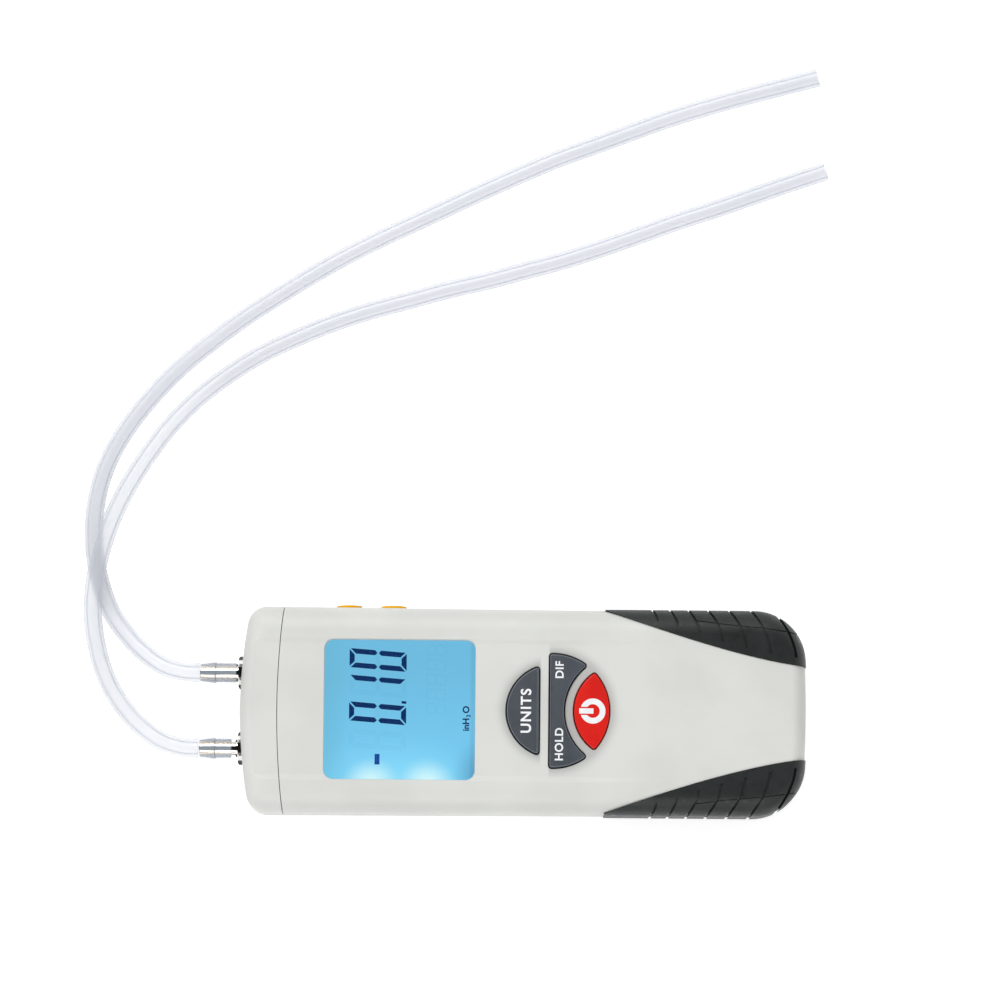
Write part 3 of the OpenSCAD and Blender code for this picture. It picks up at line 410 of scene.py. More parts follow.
class Tree:
    """Writes a node tree in few words."""

    def __init__(self, tree: bpy.types.NodeTree) -> None:
        """Starts on an empty tree."""
        self.tree = tree
        tree.nodes.clear()

    def put(self, kind: str, inputs: Optional[dict] = None, **settings: object) -> bpy.types.Node:
        """Adds a node.

        Args:
            kind: Its type name.
            inputs: Values or sockets for its inputs, by name or number.
            settings: Its settings.

        Returns:
            The node.
        """
        node = self.tree.nodes.new(kind)
        for key, value in settings.items():
            setattr(node, key, value)
        for key, value in (inputs or {}).items():
            if isinstance(value, Socket):
                self.tree.links.new(value, node.inputs[key])
            else:
                node.inputs[key].default_value = value
        return node

    def calc(self, operation: str, *terms: object) -> Socket:
        """Result of a Math node on values or sockets."""
        return self.put("ShaderNodeMath", dict(enumerate(terms)), operation=operation).outputs[0]

    def times(self, first: object, *others: object) -> Socket:
        """Product of two or more values or sockets.

        Args:
            first: The first of them.
            others: The rest.

        Returns:
            The product.
        """
        for other in others:
            first = self.calc("MULTIPLY", first, other)
        return first

    def mix(self, share: object, first: object, second: object) -> Socket:
        """Colour mixed from two by a share."""
        node = self.put("ShaderNodeMix", {0: share, 6: first, 7: second}, data_type="RGBA")
        return node.outputs[2]

    def blend(self, share: object, first: object, second: object) -> Socket:
        """Number between two by a share."""
        node = self.put("ShaderNodeMix", {0: share, 2: first, 3: second}, data_type="FLOAT")
        return node.outputs[0]

    def here(self) -> tuple[Socket, ...]:
        """Object coordinates: along the housing, across it and up."""
        where = self.put("ShaderNodeTexCoord").outputs["Object"]
        return tuple(self.put("ShaderNodeSeparateXYZ", {0: where}).outputs)

    def noise(self, scale: object, detail: float = 2.0) -> Socket:
        """Noise on Object coordinates."""
        where = self.put("ShaderNodeTexCoord").outputs["Object"]
        return self.put("ShaderNodeTexNoise", {"Vector": where, "Scale": scale, "Detail": detail}
                        ).outputs["Fac"]

    def span(self, value: object, a: float, b: float, c: float, d: float) -> Socket:
        """Smoothly maps the span from a to b onto that from c to d."""
        return self.put("ShaderNodeMapRange", {0: value, 1: a, 2: b, 3: c, 4: d},
                        interpolation_type="SMOOTHSTEP").outputs[0]

    def ramp(self, value: object, a: float, b: float, c: float, d: float) -> Socket:
        """Smoothly maps a length between a and b millimetres onto the span from c to d."""
        return self.span(value, a * MM, b * MM, c, d)


def add_sockets(made: bpy.types.NodeTree, side: str, kind: str, *labels: str) -> None:
    """Gives a group inputs or outputs of one kind.

    Args:
        made: The group.
        side: INPUT or OUTPUT.
        kind: Kind of the sockets.
        labels: Their names.
    """
    for label in labels:
        made.interface.new_socket(label, in_out=side, socket_type=f"NodeSocket{kind}")


def skin_group() -> bpy.types.NodeTree:
    """Group for moulded and coated skins: blotches of tone, fine grain and handling marks.

    Returns:
        The group, made once.
    """
    if "skin" in bpy.data.node_groups:
        return bpy.data.node_groups["skin"]
    made = bpy.data.node_groups.new("skin", "ShaderNodeTree")
    add_sockets(made, "INPUT", "Color", "Colour", "Shade")
    add_sockets(made, "INPUT", "Float", "Blotch Scale", "Grain Scale", "Roughness", "Swing")
    add_sockets(made, "OUTPUT", "Color", "Colour")
    add_sockets(made, "OUTPUT", "Float", "Roughness", "Height")
    tree = Tree(made)
    given = tree.put("NodeGroupInput").outputs
    blotch = tree.span(tree.noise(given["Blotch Scale"], 4), 0.35, 0.65, 0, 1)
    grain = tree.noise(given["Grain Scale"], 3)
    handled = tree.span(tree.noise(tree.times(given["Blotch Scale"], 3.7), 5), 0.52, 0.72, 0, 1)
    tone = tree.calc("ADD", tree.times(grain, 0.25), blotch)
    swing = tree.times(tree.calc("SUBTRACT", handled, 0.4), given["Swing"])
    tree.put("NodeGroupOutput", {
        "Colour": tree.mix(tree.times(tone, 0.8), given["Colour"], given["Shade"]),
        "Roughness": tree.calc("SUBTRACT", given["Roughness"], swing), "Height": grain})
    return made


def new_material(name: str) -> tuple[bpy.types.Material, Tree]:
    """Starts a material with an empty tree.

    Args:
        name: Its name.

    Returns:
        The material and its tree.
    """
    material = bpy.data.materials.new(name)
    material.use_nodes = True
    return material, Tree(material.node_tree)


@dataclass(frozen=True)
class Finish:
    """What a piece is made of, in two close tones."""

    name: str
    colour: Colour
    shade: Colour

    def surface(self, tree: Tree) -> dict[str, object]:
        """Writes the nodes in front of the Principled shader and returns that shader's inputs."""
        raise NotImplementedError

    def skin(self, tree: Tree, blotch: float, grain: float, roughness: float, swing: float
             ) -> bpy.types.bpy_prop_collection:
        """Outputs of the skin group in the two tones, with these scales and this roughness."""
        return tree.put("ShaderNodeGroup", {
            "Colour": linear(*self.colour), "Shade": linear(*self.shade), "Blotch Scale": blotch,
            "Grain Scale": grain, "Roughness": roughness, "Swing": swing},
            node_tree=skin_group()).outputs

    def material(self) -> bpy.types.Material:
        """The finish as a material.

        Returns:
            The material, made once.
        """
        if self.name in bpy.data.materials:
            return bpy.data.materials[self.name]
        material, tree = new_material(self.name)
        face = tree.put("ShaderNodeBsdfPrincipled", self.surface(tree))
        tree.put("ShaderNodeOutputMaterial", {"Surface": face.outputs[0]})
        return material


@dataclass(frozen=True)
class Skin(Finish):
    """Moulded, rubber or coated finish."""

    roughness: float = 0.5
    swing: float = 0.08
    blotch: float = 60.0
    grain: float = 4500.0
    bump: float = 0.02
    metallic: float = 0.0
    coat: float = 0.0
    specular: float = 0.5

    def tint(self, tree: Tree, colour: Socket) -> Socket:
        """Changes the colour where a finish has more to it; the plain one has not."""
        return colour

    def surface(self, tree: Tree) -> dict[str, object]:
        """Writes the skin with its fine bump.

        Args:
            tree: The material's tree.

        Returns:
            The shader's inputs.
        """
        skin = self.skin(tree, self.blotch, self.grain, self.roughness, self.swing)
        bump = tree.put("ShaderNodeBump", {"Strength": 1.0, "Distance": self.bump * MM,
                                           "Height": skin["Height"]})
        return {"Base Color": self.tint(tree, skin["Colour"]), "Roughness": skin["Roughness"],
                "Normal": bump.outputs[0], "Metallic": self.metallic, "Coat Weight": self.coat,
                "Coat Roughness": 0.2, "Specular IOR Level": self.specular}


@dataclass(frozen=True)
class FaceSkin(Skin):
    """Housing finish with painted shadow round the keys and painted shade in the gap by them."""

    units_r: float = 14.9
    cluster_r: float = 18.4
    reach: float = 5.0
    strip: Flat = (5.6, 8.4)
    strip_soft: float = 0.3
    # Painted shadow round the keys: the heights where it falls and its strength.
    shadow_z: Flat = (27, 29)
    depth: float = 0.36
    # Painted shade in the gap round the keys, stronger where the surface faces along gap_light.
    gap_z: Flat = (28.98, 29.19)
    gap_r: Flat = (19, 19.5)
    gap_light: Place = (0.45, 0.85, 0)
    gap_lean: Flat = (-0.4, 0.7)
    gap_share: Flat = (0.3, 0.95)
    # Colours of the painted shadow round the keys and of the painted shade in their gap.
    shadow: Colour = (96, 98, 100)
    gap: Colour = (14, 14, 15)

    def tint(self, tree: Tree, colour: Socket) -> Socket:
        """Paints shade on the colour towards the keys and in the gap round them.

        Args:
            tree: The material's tree.
            colour: The skin's colour.

        Returns:
            The colour that is used.
        """
        along, across, up = tree.here()
        aside = tree.calc("SUBTRACT", along, KEYS_X * MM)
        flat = tree.put("ShaderNodeCombineXYZ", {0: aside, 1: across}).outputs[0]
        far = tree.put("ShaderNodeVectorMath", {0: flat}, operation="LENGTH").outputs["Value"]

        def painted_shade_ring(r: float, x0: float, x1: float) -> Socket:
            """Soft ring of painted shade outside a radius on one side of the light strip."""
            near = tree.ramp(far, r, r + self.reach, 1, 0)
            return tree.times(near, near, tree.ramp(along, x0, x1, 0, 1))

        (front, rear), soft = self.strip, self.strip_soft
        # Painted shadow round the keys, kept off the light strip between them and to the face's
        # heights.
        mask = tree.calc("MAXIMUM", painted_shade_ring(self.units_r, front + soft, front - soft),
                         painted_shade_ring(self.cluster_r, rear - soft, rear + soft))
        mask = tree.times(mask, tree.ramp(up, *self.shadow_z, 0, self.depth))
        # Painted shade in the gap round the keys, weighted by the surface's turn towards gap_light.
        normal = tree.put("ShaderNodeNewGeometry").outputs["Normal"]
        lit = tree.put("ShaderNodeVectorMath", {0: normal, 1: self.gap_light},
                       operation="DOT_PRODUCT").outputs["Value"]
        painted_gap_shade = tree.times(tree.ramp(up, *self.gap_z, 1, 0), tree.ramp(far, *self.gap_r, 1, 0),
                          tree.span(lit, *self.gap_lean, *self.gap_share))
        return tree.mix(painted_gap_shade, tree.mix(mask, colour, linear(*self.shadow)), linear(*self.gap))


@dataclass(frozen=True)
class RimHighlightSkin(Skin):
    """Finish with a painted highlight on its rounded rims."""

    # Colour of the painted highlight on the rims and how strongly it shows.
    rim: Colour = (0, 0, 0)
    share: float = 0.6
    top_lean: Flat = (0.97, 0.85)
    side_lean: Flat = (0.3, 0.55)

    def tint(self, tree: Tree, colour: Socket) -> Socket:
        """Paints a highlight where the surface leans away from the face.

        Args:
            tree: The material's tree.
            colour: The skin's colour.

        Returns:
            The colour that is used.
        """
        normal = tree.put("ShaderNodeNewGeometry").outputs["Normal"]
        up = tree.put("ShaderNodeSeparateXYZ", {0: normal}).outputs[2]
        # Painted highlight on the rounded rims, strongest where the surface leans part way down.
        lean = tree.times(tree.span(up, *self.top_lean, 0, self.share),
                          tree.span(up, *self.side_lean, 0, 1))
        return tree.mix(lean, colour, linear(*self.rim))


@dataclass(frozen=True)
class PortSkin(Skin):
    """Bright metal with painted reflections: dark bands by its axis, warm ones under the hose."""

    bare_from: float = -93.9
    nuts_from: float = -92.1
    longer: float = 1.3
    ring: float = -99.3
    middle_r: Flat = (0.5, 0.9)
    outer_r: Flat = (1.5, 1.8)
    neck_bands: Flat = (0.6, 1.8)
    nut_bands: Flat = (1.5, 3.8)
    # Colours of the painted reflections on the nuts and neck and under the hose.
    dark: Colour = (16, 15, 14)
    warm_highlight: Colour = (232, 218, 200)
    middle: Colour = (134, 150, 160)
    outer: Colour = (160, 166, 172)
    step: Colour = (148, 150, 156)

    def tint(self, tree: Tree, colour: Socket) -> Socket:
        """Paints the reflected bands of the nuts, of the bare neck and of the barb under the hose.

        Args:
            tree: The material's tree.
            colour: The skin's colour.

        Returns:
            The colour that is used.
        """
        along, across, _ = tree.here()
        off = tree.calc("SUBTRACT", tree.calc("ABSOLUTE", across), PORTS_Y * MM)
        off = tree.calc("ABSOLUTE", off)

        # Painted dark reflections in bands along the axis.
        def bands(inner: float, outer: float) -> Socket:
            """Dark below one distance from the axis and above another, in millimetres."""
            return tree.calc("MAXIMUM", tree.ramp(off, inner, inner + 0.3, 1, 0),
                             tree.ramp(off, outer, outer + 0.3, 0, 1))

        upper = tree.calc("GREATER_THAN", across, 0.0)
        start = tree.calc("SUBTRACT", along, tree.times(upper, self.longer * MM))
        bare = tree.ramp(start, self.bare_from - 0.1, self.bare_from + 0.1, 0, 1)
        # Painted reflection under the hose: grey-blue middle, warm highlight bands, grey edges, a
        # ring at the step.
        sleeve = tree.mix(tree.ramp(off, *self.middle_r, 0.85, 0), linear(*self.warm_highlight),
                          linear(*self.middle))
        sleeve = tree.mix(tree.ramp(off, *self.outer_r, 0, 0.9), sleeve, linear(*self.outer))
        ring = tree.calc("MINIMUM", tree.ramp(along, self.ring - 0.3, self.ring - 0.1, 0, 0.75),
                         tree.ramp(along, self.ring + 0.1, self.ring + 0.3, 0.75, 0))
        sleeve = tree.mix(ring, sleeve, linear(*self.step))
        # Painted dark reflections on the bare neck and on the nuts.
        nuts = tree.ramp(along, self.nuts_from, self.nuts_from + 0.3, 0, 1)
        dark = tree.times(tree.blend(nuts, bands(*self.neck_bands), bands(*self.nut_bands)), 0.96)
        return tree.mix(bare, sleeve, tree.mix(dark, colour, linear(*self.dark)))


@dataclass(frozen=True)
class BandSkin(Skin):
    """Finish in two colours that meet at a place along the housing."""

    second: Colour = (0, 0, 0)
    edge: float = 0.0

    def tint(self, tree: Tree, colour: Socket) -> Socket:
        """Puts the second colour past the edge."""
        past = tree.ramp(tree.here()[0], self.edge - 0.1, self.edge + 0.1, 0, 1)
        return tree.mix(past, colour, linear(*self.second))


@dataclass(frozen=True)
class Clear(Finish):
    """Clear plastic or silicone."""

    roughness: float
    ior: float
    transmission: float

    def surface(self, tree: Tree) -> dict[str, object]:
        """Writes a skin that lets light through."""
        skin = self.skin(tree, 90.0, 1080.0, self.roughness, self.roughness * 0.6)
        return {"Base Color": skin["Colour"], "Roughness": skin["Roughness"], "IOR": self.ior,
                "Transmission Weight": self.transmission}


@dataclass(frozen=True)
class Milky(Finish):
    """Translucent silicone, which looks denser where its wall is seen edge on."""

    thin: float
    dense: float
    edge: Flat = (0.55, 0.95)

    def surface(self, tree: Tree) -> dict[str, object]:
        """Writes a skin that covers by its angle to the eye.

        Args:
            tree: The material's tree.

        Returns:
            The shader's inputs.
        """
        skin = self.skin(tree, 30.0, 900.0, 0.22, 0.08)
        facing = tree.put("ShaderNodeLayerWeight", {"Blend": 0.5}).outputs["Facing"]
        return {"Base Color": skin["Colour"], "Roughness": skin["Roughness"],
                "Specular IOR Level": 0.4,
                "Alpha": tree.span(facing, *self.edge, self.thin, self.dense)}


@dataclass(frozen=True)
class Ink(Finish):
    """Dark segments of a lit display."""

    glow: float
    cover: float = 1.0

    def surface(self, tree: Tree) -> dict[str, object]:
        """Writes a dark body that glows in its tones."""
        colour = tree.mix(tree.noise(400.0), linear(*self.colour), linear(*self.shade))
        return {"Base Color": linear(4, 6, 20), "Roughness": 0.5, "Specular IOR Level": 0.0,
                "Emission Color": colour, "Emission Strength": self.glow, "Alpha": self.cover}


@dataclass(frozen=True)
class LitPanel(Finish):
    """Lit panel behind the segments, with a bright spot at each of its diodes."""

    diodes: tuple[Flat, ...] = ((-48.6, -23.5), (-30.6, -23.5))

    def surface(self, tree: Tree) -> dict[str, object]:
        """Writes the tones of the panel, from all of it to the spots.

        Args:
            tree: The material's tree.

        Returns:
            The shader's inputs.
        """
        along, across, _ = tree.here()

        def spot(x: float, y: float, wide: float, high: float, share: float) -> Socket:
            """Soft mask round a place, in millimetres.

            Args:
                x: The place along the housing.
                y: The place across it.
                wide: How far the mask reaches along the housing.
                high: How far it reaches across it.
                share: How strong it is in its middle.

            Returns:
                The mask.
            """
            dx, dy = (tree.calc("DIVIDE", tree.calc("SUBTRACT", axis, middle * MM), reach * MM)
                      for axis, middle, reach in ((along, x, wide), (across, y, high)))
            far = tree.calc("SQRT", tree.calc("ADD", tree.times(dx, dx), tree.times(dy, dy)))
            return tree.times(tree.span(far, 0, 1, 1, 0), share)

        colour = tree.mix(tree.ramp(across, -18, 16, 0, 1), linear(*self.colour),
                          linear(*self.shade))
        for mask, tone in (
                (tree.ramp(along, -63.5, -54, 0.55, 0), (106, 182, 210)),
                (tree.times(tree.noise(90.0, 3), 0.15), (128, 204, 238)),
                (spot(-39, -25, 36, 19, 0.75), (142, 226, 254)),
                # Painted shade of the window's wall in the panel's corner and along its edge by the
                # keys.
                (spot(-15, -21, 9, 14, 0.5), (66, 122, 164)),
                (tree.ramp(along, -17.2, -16.5, 0, 0.15), (66, 100, 124)),
                *[(spot(x, y, 10.5, 9, 0.9), (220, 254, 255)) for x, y in self.diodes]):
            colour = tree.mix(mask, colour, linear(*tone))
        return {"Base Color": linear(4, 8, 12), "Roughness": 0.3, "Specular IOR Level": 0.0,
                "Emission Color": colour, "Emission Strength": 1.0}


@dataclass(frozen=True)
class LeadPair(Finish):
    """Insulation of the battery leads: one tone on each side of the middle."""

    def surface(self, tree: Tree) -> dict[str, object]:
        """Writes the two tones and a little dust on both.

        Args:
            tree: The material's tree.

        Returns:
            The shader's inputs.
        """
        side = tree.calc("GREATER_THAN", tree.here()[1], 0.0)
        colour = tree.mix(side, linear(*self.colour), linear(*self.shade))
        dusty = tree.mix(tree.times(tree.noise(500.0), 0.2), colour, linear(70, 40, 40))
        return {"Base Color": dusty, "Roughness": 0.45}


PLASTIC = ((218, 219, 215), (211, 212, 207), 0.46, 0.10, 40, 3800, 0.01)
HOUSING = Skin("housing plastic", *PLASTIC)
FACE = FaceSkin("front shell plastic", *PLASTIC)
RUBBER = Skin("grip rubber", (34, 38, 38), (25, 29, 29), 0.42, 0.14, 120, 5200, 0.015,
              specular=0.32)
# Key finishes with a painted highlight on their rims.
SLATE = RimHighlightSkin("key slate", (74, 80, 88), (66, 71, 79), 0.4, 0.1, 150, 5000, 0.008,
                specular=0.35, rim=(122, 127, 133))
RED = RimHighlightSkin("key red", (222, 24, 10), (212, 18, 8), 0.36, 0.1, 150, 5000, 0.006,
              specular=0.25, rim=(250, 60, 40), share=0.35)
YELLOW = Skin("button yellow", (246, 184, 6), (238, 172, 2), 0.4, 0.1, 200, 5000, 0.006,
              specular=0.2)
LETTERING = Skin("white lettering", (246, 247, 248), (236, 238, 240), 0.5, 0.05, 400, 6000, 0.004)
# Nickel of the ports, with the painted reflection bands of PortSkin.
NICKEL = PortSkin("bright nickel", (226, 224, 220), (208, 206, 202), 0.1, 0.08, 300, 2500, 0.002,
                  metallic=1.0)
BRASS = Skin("turned brass", (214, 184, 104), (196, 160, 84), 0.26, 0.12, 300, 2500, 0.006,
             metallic=1.0)
STEEL = Skin("zinc plated steel", (190, 192, 198), (165, 168, 172), 0.32, 0.15, 500, 3000, 0.006,
             metallic=1.0)
WHITE = Skin("white holder plastic", (236, 236, 230), (226, 226, 220), 0.5, 0.1, 120, 4200, 0.012)
PINK = Skin("connector silicone", (222, 160, 168), (206, 138, 148), 0.7, 0.1, 200, 3000, 0.02)
GUIDE = Clear("light guide", (244, 250, 252), (236, 246, 250), 0.25, 1.49, 0.6)
LED_BODY = Skin("diode resin", (246, 242, 200), (238, 228, 168), 0.35, 0.1, 400, 3000, 0.01)
BOARD = Skin("green solder mask", (32, 104, 70), (20, 84, 52), 0.34, 0.1, 260, 900, 0.02, coat=0.3)
BLACK = Skin("black plastic", (38, 38, 41), (30, 30, 33), 0.5, 0.12, 200, 4200, 0.015)
TUBE = Skin("milky silicone", (226, 220, 206), (214, 206, 190), 0.5, 0.1, 120, 2000, 0.015,
            coat=0.2)
CASE = BandSkin("battery case", (184, 122, 66), (166, 104, 52), 0.3, 0.14, 90, 3000, 0.004,
                metallic=0.7, second=(40, 43, 50), edge=52.0)
LEADS = LeadPair("lead pair", (34, 34, 36), (178, 30, 24))
HOSE = Milky("clear silicone hose", (219, 222, 230), (214, 218, 227), 0.38, 0.85)
HOSE_BORE = Milky("silicone hose bore", (178, 192, 212), (170, 186, 208), 0.0, 0.6, (0.25, 0.8))
HOSE_ON_BARB = Clear("silicone over the barb", (238, 240, 244), (230, 233, 239), 0.08, 1.41, 1.0)
LENS = Clear("display lens", (252, 254, 255), (249, 252, 254), 0.02, 1.12, 1.0)
PANEL = LitPanel("lit panel", (121, 203, 241), (111, 188, 223))
NAVY = Ink("segments", (11, 46, 97), (10, 42, 88), 1.0)
BLUE_INK = Ink("pale segments", (29, 77, 153), (27, 72, 146), 1.0)
GHOST = Ink("idle segments", (70, 120, 190), (60, 110, 180), 0.8, 0.02)

INSIDE = {
    "lcd_glass": PANEL, "lcd_holder": WHITE, "lcd_connector_strips": PINK,
    "backlight_guide": GUIDE, "backlight_leds": LED_BODY, "main_board": BOARD,
    "board_screws": STEEL, "controller_chip": BLACK, "key_switches": BLACK,
    "side_switches": BLACK, "pressure_sensor": BLACK, "sensor_tube_upper": TUBE,
    "sensor_tube_lower": TUBE, "battery_snap": BLACK, "battery_leads": LEADS}


def place(thing: Thing, finish: Finish, body: str, slot: str, *nodes: str) -> Thing:
    """Dresses a piece and ties it to the frame.

    Args:
        thing: The piece.
        finish: Its finish.
        body: The body that it rides on.
        slot: Name of its material slot; not used.
        nodes: The nodes that it stands for.

    Returns:
        The piece.
    """
    thing.data.materials.clear()
    thing.data.materials.append(finish.material())
    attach(thing, body)
    if nodes:
        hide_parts(*nodes)
    LOG.info("%s rides on %s, %d faces", thing.name, body, len(thing.data.polygons))
    return thing


def dress(node: str, finish: Finish) -> None:
    """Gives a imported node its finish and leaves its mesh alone.

    Args:
        node: The node.
        finish: Its finish.
    """
    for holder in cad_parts[node].material_slots:
        holder.link = "OBJECT"
        holder.material = finish.material()
    LOG.info("%s keeps its solid", node)


# Studio


@dataclass
class Studio:
    """Camera, floor, world and lamps."""

    aim: Place = (-9.604, 70.52, 15.0)
    distance: float = 2500.0
    tilt: float = 4.8
    roll: float = 0.518
    focal_pixels: float = 7730.4
    frame_pixels: float = 990.0
    sensor: float = 36.0
    clip: Flat = (0.1, 20.0)
    floor_half: float = 3000.0
    floor_white: float = 0.52
    room: float = 0.75
    head_end: tuple[Flat, float] = ((-0.95, -0.3), 0.7)
    tail_end: tuple[Flat, float] = ((0.2, 0.9), 0.35)
    shine_rise: tuple[float, ...] = (0.70, 0.82, 1.15, 0.3)
    shine_across: tuple[float, ...] = (-0.8, -0.1, 0.75, 1.0)
    lamps: tuple[tuple[str, Place, float, float], ...] = (
        ("key lamp", (-0.4, 1.3, 1.4), 14.0, 0.8), ("fill lamp", (0.0, -1.4, 1.2), 9.0, 1.2))

    def camera(self) -> None:
        """Puts the camera where the photograph was taken from."""
        tilt, roll = math.radians(self.tilt), math.radians(self.roll)
        back = Vector((0, -math.sin(tilt), math.cos(tilt)))
        rise = Vector((0, math.cos(tilt), math.sin(tilt)))
        right = Vector((1, 0, 0)) * math.cos(roll) + rise * math.sin(roll)
        turn = Matrix((right, back.cross(right), back)).transposed().to_4x4()
        eye = (Vector(self.aim) + back * self.distance) * MM
        data = bpy.data.cameras.new("camera")
        data.sensor_width = self.sensor
        data.lens = self.focal_pixels / self.frame_pixels * self.sensor
        data.clip_start, data.clip_end = self.clip
        camera = bpy.data.objects.new("camera", data)
        bpy.context.scene.collection.objects.link(camera)
        camera.matrix_world = Matrix.Translation(eye) @ turn
        bpy.context.scene.camera = camera

    def floor(self) -> None:
        """Lays a plain pale floor, whiter where the camera, a gloss or a clear piece looks."""
        far = self.floor_half
        floor = make("floor", at([(-far, -far), (far, -far), (far, far), (-far, far)], 0),
                     [(0, 1, 2, 3)])
        material, tree = new_material("pale floor")
        tone = tree.mix(tree.noise(3.0), linear(240, 240, 240), linear(236, 236, 236))
        face = tree.put("ShaderNodeBsdfPrincipled", {"Base Color": tone, "Roughness": 0.9,
                                                     "Specular IOR Level": 0.1}).outputs[0]
        path = tree.put("ShaderNodeLightPath").outputs
        seen = tree.calc("MAXIMUM", path["Is Camera Ray"], path["Is Glossy Ray"])
        seen = tree.calc("MAXIMUM", seen, path["Is Transmission Ray"])
        white = tree.put("ShaderNodeEmission", {"Strength": self.floor_white}).outputs[0]
        both = tree.put("ShaderNodeAddShader", {0: face, 1: white}).outputs[0]
        shown = tree.put("ShaderNodeMixShader", {0: seen, 1: face, 2: both}).outputs[0]
        tree.put("ShaderNodeOutputMaterial", {"Surface": shown})
        floor.data.materials.append(material)

    def world(self) -> None:
        """Fills the room with even light that is dimmer at both ends, and white to the eye."""
        world, room = bpy.data.worlds.new("room"), self.room
        world.use_nodes = True
        tree = Tree(world.node_tree)
        path = tree.put("ShaderNodeLightPath").outputs
        along, across, rise = tree.put("ShaderNodeSeparateXYZ", {
            0: tree.put("ShaderNodeTexCoord").outputs["Generated"]}).outputs
        (head, head_share), (tail, tail_share) = self.head_end, self.tail_end
        ends = tree.calc("MINIMUM", tree.span(along, *head, room * head_share, room),
                         tree.span(along, *tail, room, room * tail_share))
        shine = tree.times(tree.span(rise, *self.shine_rise),
                           tree.span(across, *self.shine_across))
        strength = tree.blend(path["Is Glossy Ray"], ends, shine)
        seen = tree.calc("MAXIMUM", path["Is Camera Ray"], path["Is Transmission Ray"])
        light = tree.put("ShaderNodeBackground", {"Color": (1, 1, 1, 1),
                                                  "Strength": tree.blend(seen, strength, 1.0)})
        tree.put("ShaderNodeOutputWorld", {"Surface": light.outputs[0]})
        bpy.context.scene.world = world

    def lamp(self, name: str, eye: Place, power: float, size: float) -> None:
        """Hangs a soft lamp that looks at the meter.

        Args:
            name: Its name.
            eye: Its place in metres.
            power: Its power in watts.
            size: Its diameter in metres.
        """
        data = bpy.data.lights.new(name, "AREA")
        data.energy, data.size, data.shape = power, size, "DISK"
        lamp = bpy.data.objects.new(name, data)
        bpy.context.scene.collection.objects.link(lamp)
        turn = Vector(eye).to_track_quat("Z", "Y").to_matrix().to_4x4()
        lamp.matrix_world = Matrix.Translation(eye) @ turn

    def build(self) -> None:
        """Sets up all of it."""
        self.camera()
        self.floor()
        self.world()
        for lamp in self.lamps:
            self.lamp(*lamp)
        bpy.context.scene.view_settings.view_transform = "Standard"


# Hoses


@dataclass
class Hose:
    """Clear hose from a barbed port to its free, square-cut end."""

    name: str
    node: str
    start: Place
    route: Sequence[Place]
    angle: float
    r: float = 2.95
    bore: float = 2.0
    cuff_bore: float = 1.8
    tip_x: float = -104.15
    swell: tuple[Flat, ...] = ((-92.0, 3.3), (-98.2, 3.45), (-99.1, 3.75), (-104.15, 3.3),
                               (-107.5, 2.95))
    swell_half: float = 3.0
    barb_y: float = 20.0
    tail_l: float = 12.0
    sides: int = 28
    lead_n: int = 18
    steps: int = 6
    smooth_angle: float = math.radians(50)

    def line(self) -> list[Place]:
        """Centre line in millimetres: straight over the barb, smooth along the route, straight end.

        Returns:
            Its points.
        """
        turn = math.radians(self.angle)
        last = Vector(self.route[-1])
        end = last + self.tail_l * Vector((math.cos(turn), math.sin(turn), 0))
        x0, x1 = self.start[0], self.route[0][0]
        lead = [(x0 + (x1 - x0) * i / self.lead_n, *self.start[1:]) for i in range(self.lead_n)]
        knots = [Vector(self.start), *map(Vector, self.route), end]
        curve: list[Vector] = []
        for i in range(1, len(knots) - 2):
            a, b, c, d = knots[i - 1:i + 3]
            into = Vector((-1, 0, 0)) * (c - b).length if i == 1 else (c - a) / 2
            out = (d - c).normalized() * (c - b).length if i == len(knots) - 3 else (d - b) / 2
            for k in range(self.steps):
                t = k / self.steps
                curve.append((2 * t**3 - 3 * t**2 + 1) * b + (t**3 - 2 * t**2 + t) * into
                             + (3 * t**2 - 2 * t**3) * c + (t**3 - t**2) * out)
        tail = [last + (end - last) * i / self.steps for i in range(self.steps + 1)]
        return [tuple(Vector(p)) for p in [*lead, *curve, *tail]]

    def radius(self, p: Place) -> Flat:
        """Outer and bore radius at a place: swollen over the barb's step, then the free hose.

        Args:
            p: The place.

        Returns:
            The two radii.
        """
        if abs(p[1] - self.start[1]) > self.swell_half or p[0] <= self.swell[-1][0]:
            return self.r, self.bore
        (x0, r0), (x1, r1) = next((a, b) for a, b in zip(self.swell, self.swell[1:])
                                  if p[0] >= b[0])
        share = (x0 - p[0]) / (x0 - x1)
        return r0 + (r1 - r0) * share, self.cuff_bore if p[0] > self.tip_x else self.bore

    def build(self) -> Thing:
        """Returns:
            The hose.
        """
        line = [Vector(p) for p in self.line()]
        outer, inner = [], []
        turns = [2 * math.pi * k / self.sides for k in range(self.sides)]
        for i, p in enumerate(line):
            ahead = (line[min(i + 1, len(line) - 1)] - line[max(i - 1, 0)]).normalized()
            side = ahead.cross(Vector((0, 0, 1))).normalized()
            up = side.cross(ahead)
            for rings, r in zip((outer, inner), self.radius(tuple(p))):
                rings.append([tuple(p + r * (math.cos(a) * side + math.sin(a) * up))
                              for a in turns])
        hose = loft(self.name, [r[::-1] for r in [*outer, *inner[::-1]]], True)
        place(polish(hose, 0.0, self.smooth_angle), HOSE, "housing", "hose", self.node)
        for finish in (HOSE_BORE, HOSE_ON_BARB):
            hose.data.materials.append(finish.material())
        for i, face in enumerate(hose.data.polygons):
            x, y, _ = face.center
            bored = len(outer) <= i // self.sides < 2 * len(outer) - 1
            face.material_index = 2 if x > self.tip_x * MM and abs(y) < self.barb_y * MM else bored
        spine = [tuple(c * MM for c in p) for p in line]
        length = sum((Vector(b) - Vector(a)).length for a, b in zip(spine, spine[1:]))
        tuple(spine[0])
        LOG.info("%s is %.3f m long", self.name, length)
        return hose


